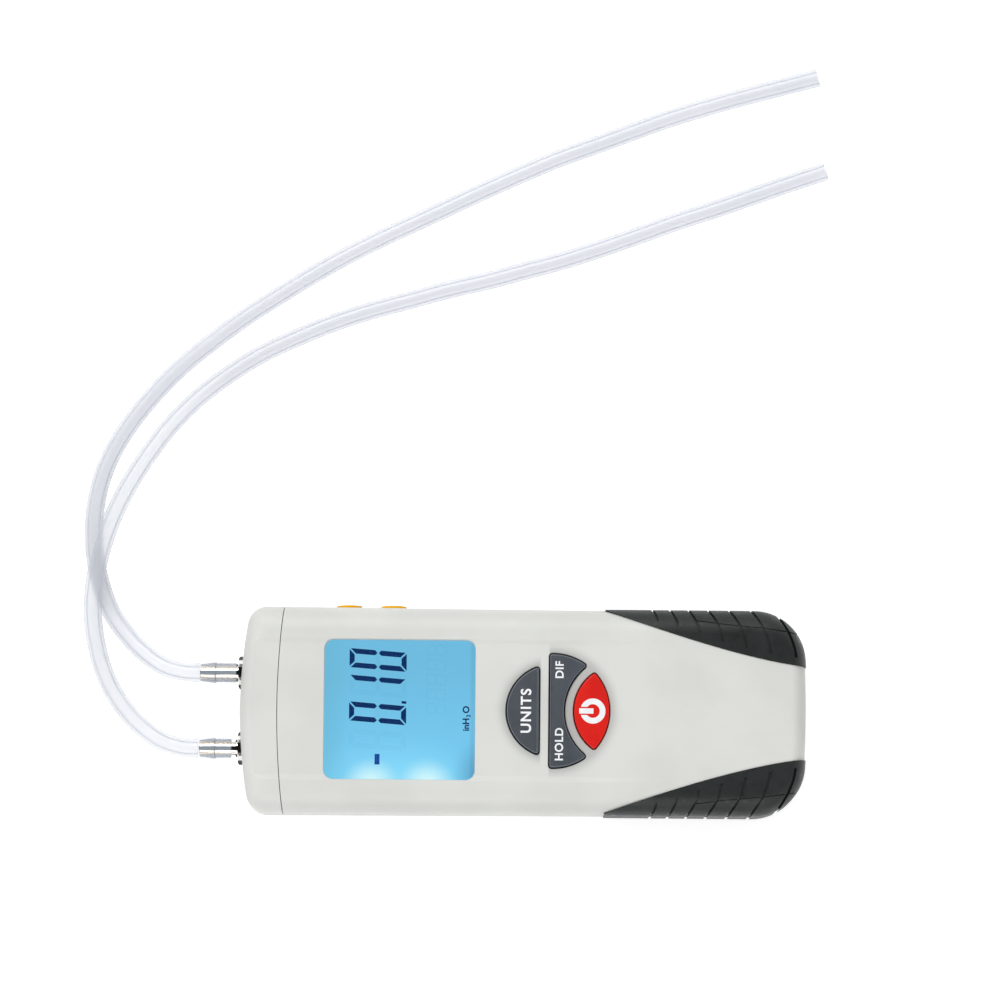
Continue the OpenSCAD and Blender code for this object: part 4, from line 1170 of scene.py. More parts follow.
UPPER_ROUTE = [
    (-106.6, 12.2, 14), (-112, 12.9, 13.7), (-118, 15.3, 12.7), (-126, 22, 9), (-133.5, 32, 5),
    (-138, 44, 3.3), *at([
        (-139.8, 56), (-139, 69), (-135.5, 81), (-129.5, 92), (-121.5, 102.5), (-112.5, 112),
        (-103, 120), (-92.5, 128), (-82, 135), (-71, 142), (-60, 148.5), (-48.5, 154.5),
        (-37, 160), (-25.5, 165.5), (-14, 171), (-2, 176.5), (9.5, 181.5), (21.5, 186),
        (33.5, 190.5), (45.5, 195), (58, 199), (70, 202.5), (83, 206)], 3.1)]
LOWER_ROUTE = [
    (-106.6, -12.2, 14), (-112, -11.5, 14), (-118.5, -8.8, 13.8), (-127, -1.5, 13),
    (-134, 9, 12), (-138, 21, 11), (-139.5, 34, 10.4), (-138, 47, 9.9), (-134.5, 59.5, 9.5),
    (-129.5, 71, 8.9), (-123, 82, 7.6), (-115.5, 92.5, 5.9), (-106.5, 102, 4.4),
    (-96.5, 110, 3.4), *at([
        (-85.5, 117), (-74, 122.5), (-62, 127.5), (-50, 131.5), (-37.5, 135), (-25, 138.5),
        (-12.5, 141.5), (0, 145), (12.5, 148.5), (24.5, 152.5), (37, 157), (49, 161.5),
        (61, 165.5), (73.5, 170), (86, 174.5)], 3.1)]


# Housing


@dataclass
class Housing:
    """Form that shells, cap, grips and door share, and its parts."""

    head_x: float = -91.0
    tail_x: float = 91.0
    head_w: float = 66.5
    tail_w: float = 65.5
    taper: float = 112.0
    height: float = 30.0
    wall: float = 2.2
    parting: float = 10.0
    head_bow: float = 170.0
    tail_bow: float = 300.0
    head_corner: float = 6.5
    tail_corner: float = 16.5
    shoulder_h: float = 7.5
    shoulder_w: Place = (8.0, 6.0, 4.5)
    back_round: float = 3.0
    recess_depth: float = 0.8
    recess_half: float = 23.0
    recess_step: float = 2.0
    recess_n: int = 10
    fade_x: float = 12.0
    fade_l: float = 38.0
    fade_n: int = 24
    seam_x: float = -79.0
    seam_bow: float = 266.0
    seam_gap: float = 0.25
    seam_turn: Flat = (170, 190)
    seam_n: int = 60
    seam_far: float = 150.0
    seam_z: Flat = (-5.0, 40.0)
    bow_n: int = 20
    corner_n: int = 14
    shoulder_n: int = 12
    heel_n: int = 7
    lip_angles: tuple[float, ...] = (0, 25, 50, 72)

    @property
    def face_z(self) -> float:
        """Level of the recess floor."""
        return self.height - self.recess_depth

    @property
    def inner_z(self) -> float:
        """Level of the face's inner side."""
        return self.face_z - self.wall

    def half_w(self, x: float) -> float:
        """Half width at a place along the housing."""
        share = clamp((x - self.head_x) / self.taper)
        return self.head_w / 2 - (self.head_w - self.tail_w) / 2 * share

    def outline(self, side: float, head: float, tail: float) -> list[Flat]:
        """Outline drawn in by these insets.

        Args:
            side: Inset at the sides.
            head: Inset at the head.
            tail: Inset at the tail.

        Returns:
            Points, anticlockwise.
        """
        w = self.head_w / 2 - side
        r1, bow1 = max(self.tail_corner - side, 1), self.tail_bow - tail
        c1 = self.tail_x - self.tail_bow
        f1 = c1 + math.sqrt((bow1 - r1) ** 2 - (w - r1) ** 2)
        a1 = math.degrees(math.atan2(w - r1, f1 - c1))
        r2, bow2 = max(self.head_corner - side, 1), self.head_bow - head
        c2 = self.head_x + self.head_bow
        f2 = c2 - math.sqrt((bow2 - r2) ** 2 - (w - r2) ** 2)
        a2 = math.degrees(math.atan2(w - r2, f2 - c2))
        knee = self.head_x + self.taper
        n, m = self.bow_n, self.corner_n
        points = [
            *arc((c1, 0), bow1, -a1, a1, n, 1), *arc((f1, w - r1), r1, a1, 90, m, 1), (knee, w),
            *arc((f2, w - r2), r2, 90, a2, m), *arc((c2, 0), bow2, a2, 360 - a2, n, 1),
            *arc((f2, r2 - w), r2, 360 - a2, 270, m, 1), (knee, -w),
            *arc((f1, r1 - w), r1, 270, 360 - a1, m)]
        return [(x, y * 2 * self.half_w(x) / self.head_w) for x, y in points]

    def heel(self, bottom: float, inset: float) -> list[tuple[float, ...]]:
        """Levels of the back edge: height and insets."""
        return [(bottom + self.back_round * (1 - math.cos(t)),
                 *[self.back_round * (1 - math.sin(t)) + inset] * 3) for t in quarter(self.heel_n)]

    def shoulder(self, top: float, inset: float) -> list[tuple[float, ...]]:
        """Levels of the shoulder under a height: height and insets."""
        return [(top - self.shoulder_h * (1 - math.sin(t)),
                 *[w * (1 - math.cos(t)) + inset for w in self.shoulder_w])
                for t in quarter(self.shoulder_n)]

    def slices(self, name: str, levels: Sequence[Sequence[float]]) -> Thing:
        """Solid inside the outline between levels."""
        return loft(name, [at(self.outline(*level[1:]), level[0]) for level in levels])

    def form(self, bottom: float, top: float, inset: float, name: str = "form") -> Thing:
        """Whole form between two heights, drawn in by an inset."""
        return self.slices(name, [*self.heel(bottom, inset), *self.shoulder(top, inset)])

    def behind(self, shift: float) -> Thing:
        """Tool that holds what lies behind the seam.

        Args:
            shift: How far it stays behind the seam's middle.

        Returns:
            The tool.
        """
        edge = arc((self.seam_x + self.seam_bow, 0), self.seam_bow - shift, *self.seam_turn,
                   self.seam_n)
        corners = [(self.seam_far, edge[i][1]) for i in (-1, 0)]
        return prism("behind", [*edge, *corners], *self.seam_z)

    def floor_z(self, x: float) -> float:
        """Height of the face at a place along it, recess included."""
        return self.face_z + self.recess_depth * ease(clamp((x - self.fade_x) / self.fade_l))

    def recess(self) -> Thing:
        """Tool for the shallow recess with soft steps, which fades out towards the tail.

        Returns:
            The tool.
        """
        n, rings = self.fade_n, []
        far, step = self.recess_half + self.recess_step, self.recess_step
        fading = [self.fade_x + self.fade_l * i / n for i in range(n + 1)]
        for x in [self.head_x - 1, *fading]:
            floor = self.floor_z(x) + (0.02 if x == fading[-1] else 0)
            rise = max(self.height - floor, 0.02)
            shares = [i / self.recess_n for i in range(self.recess_n + 1)]
            side = [(self.recess_half - step * (1 - t), floor + rise * ease(t)) for t in shares]
            side += [(far, floor + rise + 0.12), (far, self.height + 3)]
            rings.append([(x, -y, z) for y, z in side[::-1]] + [(x, y, z) for y, z in side])
        return loft("recess", rings)

    def opening(self, outline: Sequence[Flat], flare: float, depth: float = 5.0) -> Thing:
        """Tool for an opening in the face with a rounded lip.

        Args:
            outline: The opening.
            flare: Radius of the lip.
            depth: Its depth under the face.

        Returns:
            The tool.
        """
        turns = [math.radians(a) for a in self.lip_angles]
        steps = [(-depth, 0.0), *[(-flare * (1 - math.sin(t)), flare * (1 - math.cos(t)))
                                  for t in turns], (3.0, flare * (1 - math.cos(turns[-1])))]
        return loft("opening", [[(x, y, self.floor_z(x) + dz) for x, y in grown(outline, g)]
                                for dz, g in steps])


@dataclass
class Grips:
    """Rubber corners of the tail."""

    housing: Housing
    length: float = 64.7
    gap: float = 30.0
    sweep: float = 1.35
    proud: float = 0.395
    inset: float = 1.1
    seat: float = 0.1
    edge_n: int = 32
    far_y: float = 36.0
    tool_z: Flat = (-2.0, 33.0)
    groove_count: int = 7
    groove_w: float = 0.9
    groove_depth: float = 0.55
    groove_land: float = 2.5
    groove_places: Place = (0.2235, 0.0842, 0.00275)
    lean: float = 0.48
    bend: float = 1.75
    crease_line: tuple[Flat, ...] = ((55.5, 29.4), (62.0, 28.5), (68.4, 27.8), (75.5, 27.2),
                                     (80.5, 26.6), (91.5, 25.0))
    crease_half: float = 0.2
    crease_z: Flat = (20.0, 33.0)
    crease_d: float = 0.2

    def edge_y(self, x: float) -> float:
        """Place of the inner edge across the housing."""
        share = clamp((x - self.housing.tail_x + self.length) / self.length)
        return self.gap / 2 + (self.housing.tail_w - self.gap) / 2 * (1 - share) ** self.sweep

    def region(self, shift: float) -> Thing:
        """Upright tool that holds one corner.

        Args:
            shift: How far it reaches past the grip's inner edge.

        Returns:
            The tool.
        """
        x0, far = self.housing.tail_x - self.length, self.housing.tail_x + 2
        xs = [x0 + self.length * i / self.edge_n for i in range(self.edge_n + 1)]
        edge = [(x, self.edge_y(x) - shift) for x in xs]
        return prism("corner", [*edge, (far, edge[-1][1]), (far, self.far_y),
                                (x0 - shift, self.far_y)], *self.tool_z)

    def skin(self, d: float, lift: float = 0.0) -> Thing:
        """What lies a depth under the surface that is raised by a lift."""
        return self.housing.form(d, self.housing.height + lift - d, d - lift)

    def pocket(self, side: int) -> Thing:
        """Tool for a grip's place in the shells."""
        tool = combine(self.region(self.seat), Cut.AWAY, self.skin(self.inset + self.seat))
        return mirrored(tool) if side < 0 else tool

    def groove(self, i: int) -> Thing:
        """Tool for one groove, which leans towards the tail most at the side wall.

        Args:
            i: Number of the groove, from the head's side.

        Returns:
            The tool.
        """
        a, b, c = self.groove_places
        x0 = self.housing.tail_x - self.length + self.length * (a + b * i + c * i * i)
        y0 = self.housing.tail_w / 2 + 1
        y1 = self.edge_y(x0 + self.lean * (y0 - self.edge_y(x0))) + self.groove_land
        line = [(x0 + self.lean * (y0 - y1) * s * (self.bend - (self.bend - 1) * s),
                 y0 + (y1 - y0) * s) for s in [k / 12 for k in range(13)]]
        return prism("groove", band(line, self.groove_w / 2, 0), *self.tool_z)

    def build(self, name: str, side: int) -> Thing:
        """Builds one grip.

        Args:
            name: Its name.
            side: 1 for the upper one, -1 for the lower one.

        Returns:
            The grip.
        """
        h, lift = self.housing, self.proud
        grip = combine(self.region(0), Cut.KEEP, h.form(0, h.height + lift, -lift))
        combine(grip, Cut.AWAY, self.skin(self.inset))
        tools = self.groove(0)
        for i in range(1, self.groove_count):
            combine(tools, Cut.JOIN, self.groove(i))
        combine(tools, Cut.AWAY, self.skin(self.groove_depth, lift))
        crease = prism("crease", band(self.crease_line, 0, self.crease_half), *self.crease_z)
        combine(crease, Cut.AWAY, self.skin(self.crease_d, lift))
        combine(grip, Cut.AWAY, tools, crease)
        grip.name = name
        return polish(mirrored(grip) if side < 0 else grip, 0.15)


@dataclass
class SideButtons:
    """Two yellow push buttons in the upper wall."""

    housing: Housing
    places: Flat = (-56.2, -41.9)
    z: float = 16.0
    r: float = 4.1
    hole_r: float = 4.35
    hole_l: float = 8.0
    hole_y: float = 28.0
    proud: float = 1.2
    dome: float = 0.35
    dome_n: int = 9

    def holes(self) -> list[Thing]:
        """Tools for the holes in the wall.

        Returns:
            The tools.
        """
        tools = [post("hole", 0, 0, self.hole_r, 0, self.hole_l) for _ in self.places]
        for tool, x in zip(tools, self.places):
            tool.data.transform(Matrix.Translation(Vector((x, self.hole_y, self.z)) * MM)
                                @ Matrix.Rotation(-math.pi / 2, 4, "X"))
        return tools

    def build(self) -> None:
        """Builds and dresses both."""
        crown, n = (self.r**2 + self.dome**2) / (2 * self.dome), self.dome_n
        foot = self.proud - self.dome
        profile = [(1.8, -7.0), (1.8, -3.9), (4.9, -3.9), (4.9, -2.7), (self.r, -2.7),
                   (self.r, foot - 0.12), (self.r - 0.08, foot)]
        for r in [(self.r - 0.25) * (1 - i / n) for i in range(n)]:
            profile.append((r, self.proud - crown + math.sqrt(crown**2 - r * r)))
        profile.append((0.1, self.proud))
        for name, x in zip(("side_button_a", "side_button_b"), self.places):
            cap = turned(f"{name}_cap", profile, aimed(x, self.housing.half_w(x), self.z, "X"))
            place(polish(cap), YELLOW, name, "button_yellow", name)


@dataclass
class Ports:
    """Nickel nozzles on the head with their nuts. Profiles are radius and height over the seat."""

    seat_x: float = -90.0
    z: float = 14.0
    nut_r: float = 5.3
    nut_h: float = 1.8
    thread_r: float = 3.02
    chamfer: tuple[Flat, ...] = ((4.65, 0.0), (5.35, 0.45), (5.35, 1.35), (4.65, 1.8))
    nozzle_profile: tuple[Flat, ...] = (
        (1.1, -10.7), (1.4, -10.7), (1.9, -7.7), (1.6, -7.6), (1.6, -4.3), (2.85, -4.3),
        (3.0, -4.15), (3.0, 1.65), (2.95, 1.8), (2.9, 1.8), (2.9, 2.4), (2.8, 2.5), (2.2, 2.5),
        (2.2, 9.1), (2.38, 9.1), (2.4, 9.2), (1.95, 14.0), (1.85, 14.1), (1.2, 14.1), (1.1, 14.0))

    def axis(self, side: int) -> Matrix:
        """Where a port's axis, +Z out of the seat, goes."""
        return aimed(self.seat_x, side * PORTS_Y, self.z, "Y")

    def nut(self, side: int, base: float) -> Thing:
        """Makes a chamfered hex nut.

        Args:
            side: 1 for the upper port, -1 for the lower one.
            base: Its height over the seat.

        Returns:
            The nut.
        """
        axis = self.axis(side)
        hexagon = arc((0, 0), self.nut_r, 30, 390, 6)[:-1]
        nut = loft("nut", [[tuple(axis @ Vector((x, y, h))) for x, y in hexagon]
                           for h in (base, base + self.nut_h)])
        cone = turned("cone", [(r, base + h) for r, h in self.chamfer], axis)
        bore = turned("bore", [(self.thread_r, base + h) for h in (-1, 3)], axis)
        return combine(combine(nut, Cut.KEEP, cone), Cut.AWAY, bore)

    def build(self) -> None:
        """Builds and dresses the ports."""
        for name, side in (("nozzle_upper", 1), ("nozzle_lower", -1)):
            nozzle = turned(f"{name}_turned", self.nozzle_profile, self.axis(side), True)
            place(polish(nozzle), NICKEL, "housing", "nickel", name)
        for kind, base, finish, slot in (("outer", 0, NICKEL, "nickel"),
                                         ("inner", -4.2, BRASS, "brass")):
            pair = combine(self.nut(1, base), Cut.JOIN, self.nut(-1, base))
            pair.name = f"{kind}_nuts_chamfered"
            place(polish(pair, 0.08), finish, "housing", slot, f"nozzle_{kind}_nuts")


@dataclass
class Shells:
    """Front shell, rear shell, head cap and battery door."""

    housing: Housing
    grips: Grips
    buttons: SideButtons
    ports: Ports
    bosses: tuple[Flat, ...] = ((-71.0, 26.0), (-71.0, -26.0), (72.0, 23.5), (72.0, -23.5))
    boss_r: float = 3.4
    pilot_r: float = 1.52
    pilot_top: float = 20.0
    shank_r: float = 1.65
    well_r: float = 3.0
    bay_x: Flat = (33.5, 87.5)
    bay_half: float = 16.6
    bay_wall: float = 1.3
    gate_half: float = 6.35
    gate_z: Flat = (6.3, 18.9)
    rib_places: Flat = (49.0, 76.6)
    rib_y: Flat = (13.55, 15.5)
    rib_half: float = 0.7
    slot_x: Flat = (30.8, 93.0)
    slot_half: float = 14.2
    groove_half: float = 15.0
    slot_z: float = 3.8
    seat_r: float = 5.75
    pad_r: float = 5.9
    port_hole_r: float = 3.07
    door_x: Flat = (31.0, 92.0)
    door_half: float = 13.9
    door_t: float = 2.6
    door_more: tuple[tuple[str, Flat, float, Flat], ...] = (
        ("runner", (31.0, 90.0), 14.7, (2.5, 3.5)), ("inner", (31.0, 92.0), 13.6, (1.0, 3.5)))
    door_rim: float = 0.2
    finger_x: float = 39.0
    finger_pitch: float = 2.8
    finger_half: float = 6.4
    finger_r: float = 0.6
    finger_count: int = 5

    def pockets(self) -> list[Thing]:
        """Tools for the places of both grips."""
        return [self.grips.pocket(1), self.grips.pocket(-1)]

    def front(self, openings: Sequence[Thing]) -> Thing:
        """Builds the front shell around its openings.

        Args:
            openings: Tools for the window and the keys.

        Returns:
            The shell.
        """
        h, w = self.housing, self.housing.wall
        shell = h.slices("front_shell_skin", [(h.parting, 0, 0, 0), *h.shoulder(h.height, 0)])
        hollow = h.slices("hollow", [(h.parting - 1, w, w, w), *h.shoulder(h.inner_z, w)])
        combine(shell, Cut.AWAY, hollow, h.recess())
        combine(shell, Cut.KEEP, h.behind(h.seam_gap / 2))
        for x, y in self.bosses:
            boss = post("boss", x, y, self.boss_r, h.parting, h.inner_z + 0.2, 32)
            combine(shell, Cut.JOIN, boss)
        combine(shell, Cut.AWAY, *self.pockets(), *openings, *self.buttons.holes())
        for x, y in self.bosses:
            bore = post("bore", x, y, self.pilot_r, h.parting - 1, self.pilot_top, 24)
            combine(shell, Cut.AWAY, bore)
        return polish(shell)

    def bay(self, roof: float) -> Thing:
        """Builds the battery bay.

        Args:
            roof: Level of its top.

        Returns:
            The bay, open to the door and to the leads.
        """
        (x0, x1), wall, half = self.bay_x, self.bay_wall, self.bay_half
        bay = middle_block("bay", self.bay_x, half, (self.housing.wall - 0.2, roof))
        room = middle_block("room", (x0 + wall, x1 - wall), half - wall, (0, roof - wall))
        gate = middle_block("gate", (x0 - 1, x0 + 2.3), self.gate_half, self.gate_z)
        return combine(bay, Cut.AWAY, room, gate)

    def rear(self) -> Thing:
        """Builds the rear shell with its battery bay.

        Returns:
            The shell.
        """
        h, w = self.housing, self.housing.wall
        shell = h.slices("rear_shell_skin", [*h.heel(0, 0), (h.parting, 0, 0, 0)])
        combine(shell, Cut.AWAY, h.slices("hollow", [*h.heel(w, w), (h.parting + 1, w, w, w)]))
        combine(shell, Cut.KEEP, h.behind(h.seam_gap / 2))
        for x, y in self.bosses:
            combine(shell, Cut.JOIN, post("boss", x, y, self.boss_r, w - 0.2, h.parting, 32))
        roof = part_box("rear_shell")[1][2] / MM
        combine(shell, Cut.JOIN, self.bay(roof))
        for x in self.rib_places:
            for side in (-1, 1):
                y0, y1 = sorted(side * y for y in self.rib_y)
                combine(shell, Cut.JOIN, block("rib", (x - self.rib_half, y0, 4),
                                               (x + self.rib_half, y1, roof - 1.1)))
        combine(shell, Cut.AWAY, *self.pockets(),
                middle_block("slot", self.slot_x, self.slot_half, (-1, self.slot_z)),
                middle_block("groove", self.slot_x, self.groove_half, (w, self.slot_z)))
        for x, y in self.bosses:
            combine(shell, Cut.AWAY, post("well", x, y, self.well_r, -1, 5, 48),
                    post("bore", x, y, self.shank_r, 0, 11, 24))
        return polish(shell)

    def cap(self) -> Thing:
        """Builds the head cap with the seats of the ports.

        Returns:
            The cap.
        """
        h = self.housing
        d, a, b = (h.wall + more for more in (0.2, 0.1, 1.2))
        cap = h.form(0, h.height, 0, "head_cap_skin")
        combine(cap, Cut.AWAY, h.form(d, h.inner_z - 0.2, d), h.behind(-h.seam_gap / 2), h.recess())
        collar = combine(h.form(a, h.inner_z - 0.1, a), Cut.AWAY, h.form(b, h.inner_z - 1.2, b))
        combine(collar, Cut.KEEP, middle_block("reach", (h.seam_x - 3, h.seam_x + 3), 50, (0, 30)))
        combine(cap, Cut.JOIN, collar)
        for side in (1, -1):
            pad, hole, seat = (
                turned(name, [(r, low), (r, high)], self.ports.axis(side)) for name, r, low, high in
                (("pad", self.pad_r, -2.4, 0), ("hole", self.port_hole_r, -3.4, 2),
                 ("seat", self.seat_r, 0, 3)))
            combine(cap, Cut.JOIN, combine(pad, Cut.KEEP, h.form(0, h.height, 0)))
            combine(cap, Cut.AWAY, hole, seat)
        return polish(cap)

    def door(self) -> Thing:
        """Builds the battery door with its finger grooves.

        Returns:
            The door.
        """
        r, half = self.finger_r, self.finger_half
        door = middle_block("battery_door_skin", self.door_x, self.door_half, (0, self.door_t))
        combine(door, Cut.JOIN, *[middle_block(*more) for more in self.door_more])
        combine(door, Cut.KEEP, self.housing.form(self.door_rim, self.housing.height, 0))
        for i in range(self.finger_count):
            x = self.finger_x + self.finger_pitch * i + r
            ends = [*arc((x, half), r, 0, 180, 10), *arc((x, -half), r, 180, 360, 10)]
            combine(door, Cut.AWAY, prism("finger", ends, -1, 0.7))
        return polish(door, 0.12)

    def build(self, openings: Sequence[Thing]) -> None:
        """Builds and dresses the shells, the cap, the door and the grips.

        Args:
            openings: Tools for the window and the keys.
        """
        place(self.front(openings), FACE, "housing", "housing", "front_shell")
        place(self.rear(), HOUSING, "housing", "housing", "rear_shell")
        place(self.cap(), HOUSING, "housing", "housing", "head_cap")
        place(self.door(), HOUSING, "battery_door", "housing", "battery_door")
        for name, side in (("grip_upper", 1), ("grip_lower", -1)):
            place(self.grips.build(f"{name}_rubber", side), RUBBER, "housing", "grip", name)


def print_bars(name: str, bars: Sequence[Sequence[Flat]], z: float, t: float) -> Thing:
    """Makes one object of thin printed bars.

    Args:
        name: Name of the object.
        bars: Outlines of the bars.
        z: Level of their undersides.
        t: Their thickness.

    Returns:
        The object.
    """
    points: list[Place] = []
    faces: list[list[int]] = []
    for bar in bars:
        area = sum(a[0] * b[1] - b[0] * a[1] for a, b in zip(bar, [*bar[1:], bar[0]]))
        ring = list(bar) if area > 0 else list(bar)[::-1]
        n, first = len(ring), len(points)
        points += at(ring, z) + at(ring, z + t)
        faces += [[first + i for i in range(n)][::-1], [first + n + i for i in range(n)]]
        faces += walls(first, first + n, n)
    return make(name, points, faces)


def lettering(name: str, words: Sequence[tuple[str, float, Flat]],
              height: Callable[[float, float], float], t: float, bold: float,
              spacing: float = 1.0) -> Thing:
    """Raised lettering that reads along +Y and follows a surface.

    Args:
        name: Name of the object.
        words: Each text, its letter height and the place of its lower left corner.
        height: Height of the surface at a place.
        t: How far the lettering stands up.
        bold: How much its strokes are widened, as a share of its height.
        spacing: Spacing of its letters.

    Returns:
        The lettering.
    """
    points: list[Place] = []
    faces: list[list[int]] = []
    for text, size, (x, y) in words:
        curve = bpy.data.curves.new("text", "FONT")
        curve.body, curve.size, curve.offset = text, size / CAP_HEIGHT * MM, bold * size * MM
        curve.resolution_u, curve.extrude, curve.space_character = 6, t / 2 * MM, spacing
        holder = bpy.data.objects.new("text", curve)
        bpy.context.scene.collection.objects.link(holder)
        mesh = bpy.data.meshes.new_from_object(holder)
        first = len(points)
        for vertex in mesh.vertices:
            u, v, w = (c / MM for c in vertex.co)
            px, py = x - v, y + u
            points.append((px, py, height(px, py) + w + t / 2))
        faces += [[first + i for i in p.vertices] for p in mesh.polygons]
        bpy.data.objects.remove(holder)
        bpy.data.curves.remove(curve)
        bpy.data.meshes.remove(mesh)
    return make(name, points, faces)


@dataclass(frozen=True)
class Digits:
    """Size and place of a row of seven-segment digits."""

    x: float
    h: float
    w: float
    stroke: float
    slant: float = 0.077

    def on_face(self, outline: Sequence[Flat], base: float) -> list[Flat]:
        """Lays an outline of text coordinates, u right and v up, on the face with the slant."""
        return [(self.x - v, base + u + self.slant * v) for u, v in outline]

    def bars(self, lit: str, base: float) -> list[list[Flat]]:
        """Bars of one digit, with mitred ends.

        Args:
            lit: Letters of its lit segments, a to g.
            base: Place of its lower left corner along the text.

        Returns:
            The bars as outlines on the face.
        """
        h, w, s, o, m = self.h, self.w, self.stroke, 0.22 * self.stroke, self.h / 2
        top = [(o, h), (s + o, h - s), (w - s - o, h - s), (w - o, h)]
        right = [(w, h - o), (w - s, h - s - o), (w - s, m + s * 0.6), (w - s * 0.5, m + s * 0.12),
                 (w, m + s * 0.6)]
        middle = [(s * 0.6, m), (s * 1.1, m + s / 2), (w - s * 1.1, m + s / 2), (w - s * 0.6, m),
                  (w - s * 1.1, m - s / 2), (s * 1.1, m - s / 2)]
        shapes = {"a": top, "b": right, "c": [(u, h - v) for u, v in right],
                  "d": [(u, h - v) for u, v in top], "e": [(w - u, h - v) for u, v in right],
                  "f": [(w - u, v) for u, v in right], "g": middle}
        return [self.on_face(shapes[key], base) for key in lit]


@dataclass
class Display:
    """Lens, lit panel and segments. Text reads along +Y, with its top towards the head."""

    x: float = -39.6
    length: float = 48.2
    width: float = 44.6
    corner: float = 2.9
    top: float = 29.1
    lens_t: float = 1.4
    print_z: float = 26.62
    print_t: float = 0.05
    reading: Digits = Digits(-37.49, 18.36, 6.15, 1.65)
    pitch: float = 8.575
    first_y: float = -4.92
    small: Digits = Digits(-24.6, 6.6, 3.6, 0.6)
    small_pitch: float = 4.7
    small_y: float = -1.6
    small_n: int = 5
    point: tuple[Flat, ...] = ((0, 0), (0.8, 0), (0.8, 1.5), (0, 1.5))
    point_y: float = 1.95
    unit: tuple[tuple[str, float, Flat], ...] = (
        ("inH", 2.1, (-17.3, -6.6)), ("2", 1.3, (-16.9, -2.2)), ("O", 2.1, (-17.3, -0.9)))
    unit_t: float = 0.03
    unit_bold: float = 0.045
    minus: tuple[Flat, ...] = ((-47.5, -17.6), (-45.9, -17.6), (-45.9, -14.2), (-47.5, -14.2))

    def outline(self, grow: float) -> list[Flat]:
        """Outline of the lens, grown by an amount."""
        l, w, r = self.length / 2 + grow, self.width / 2 + grow, self.corner + grow
        return rounded(self.x, (l - r, w - r), r, 12)

    def lens(self) -> Thing:
        """Builds the lens with its bevelled rim.

        Returns:
            The lens.
        """
        low, top = self.top - self.lens_t, self.top
        levels = ((-0.15, low), (-0.05, low + 0.1), (-0.05, top - 0.3), (-0.16, top - 0.1),
                  (-0.4, top))
        return polish(loft("display_lens", [at(self.outline(g), z) for g, z in levels]))

    def build(self) -> None:
        """Builds the lens and prints the reading, its unit and the faint idle segments."""
        place(self.lens(), LENS, "housing", "window", "display_window")
        z, t = self.print_z, self.print_t
        shown, idle = [], []
        for i, lit in ((-1, ""), (0, "abcdef"), (1, "bc"), (2, "abcdef")):
            base = self.first_y + self.pitch * i
            shown += self.reading.bars(lit, base)
            idle += self.reading.bars("".join(c for c in "abcdefg" if c not in lit), base)
        for i in range(self.small_n):
            idle += self.small.bars("abcdefg", self.small_y + self.small_pitch * i)
        shown.append(self.reading.on_face(self.point, self.point_y))
        for name, bars, ink, low, high in (("segments_lit", shown, NAVY, z, t),
                                           ("segment_minus", [self.minus], BLUE_INK, z, t),
                                           ("segments_idle", idle, GHOST, z - 0.01, 0.01)):
            place(print_bars(name, bars, low, high), ink, "housing", "lcd")
        unit = lettering("unit_lettering", self.unit, lambda x, y: z, self.unit_t, self.unit_bold)
        place(unit, NAVY, "housing", "lcd")


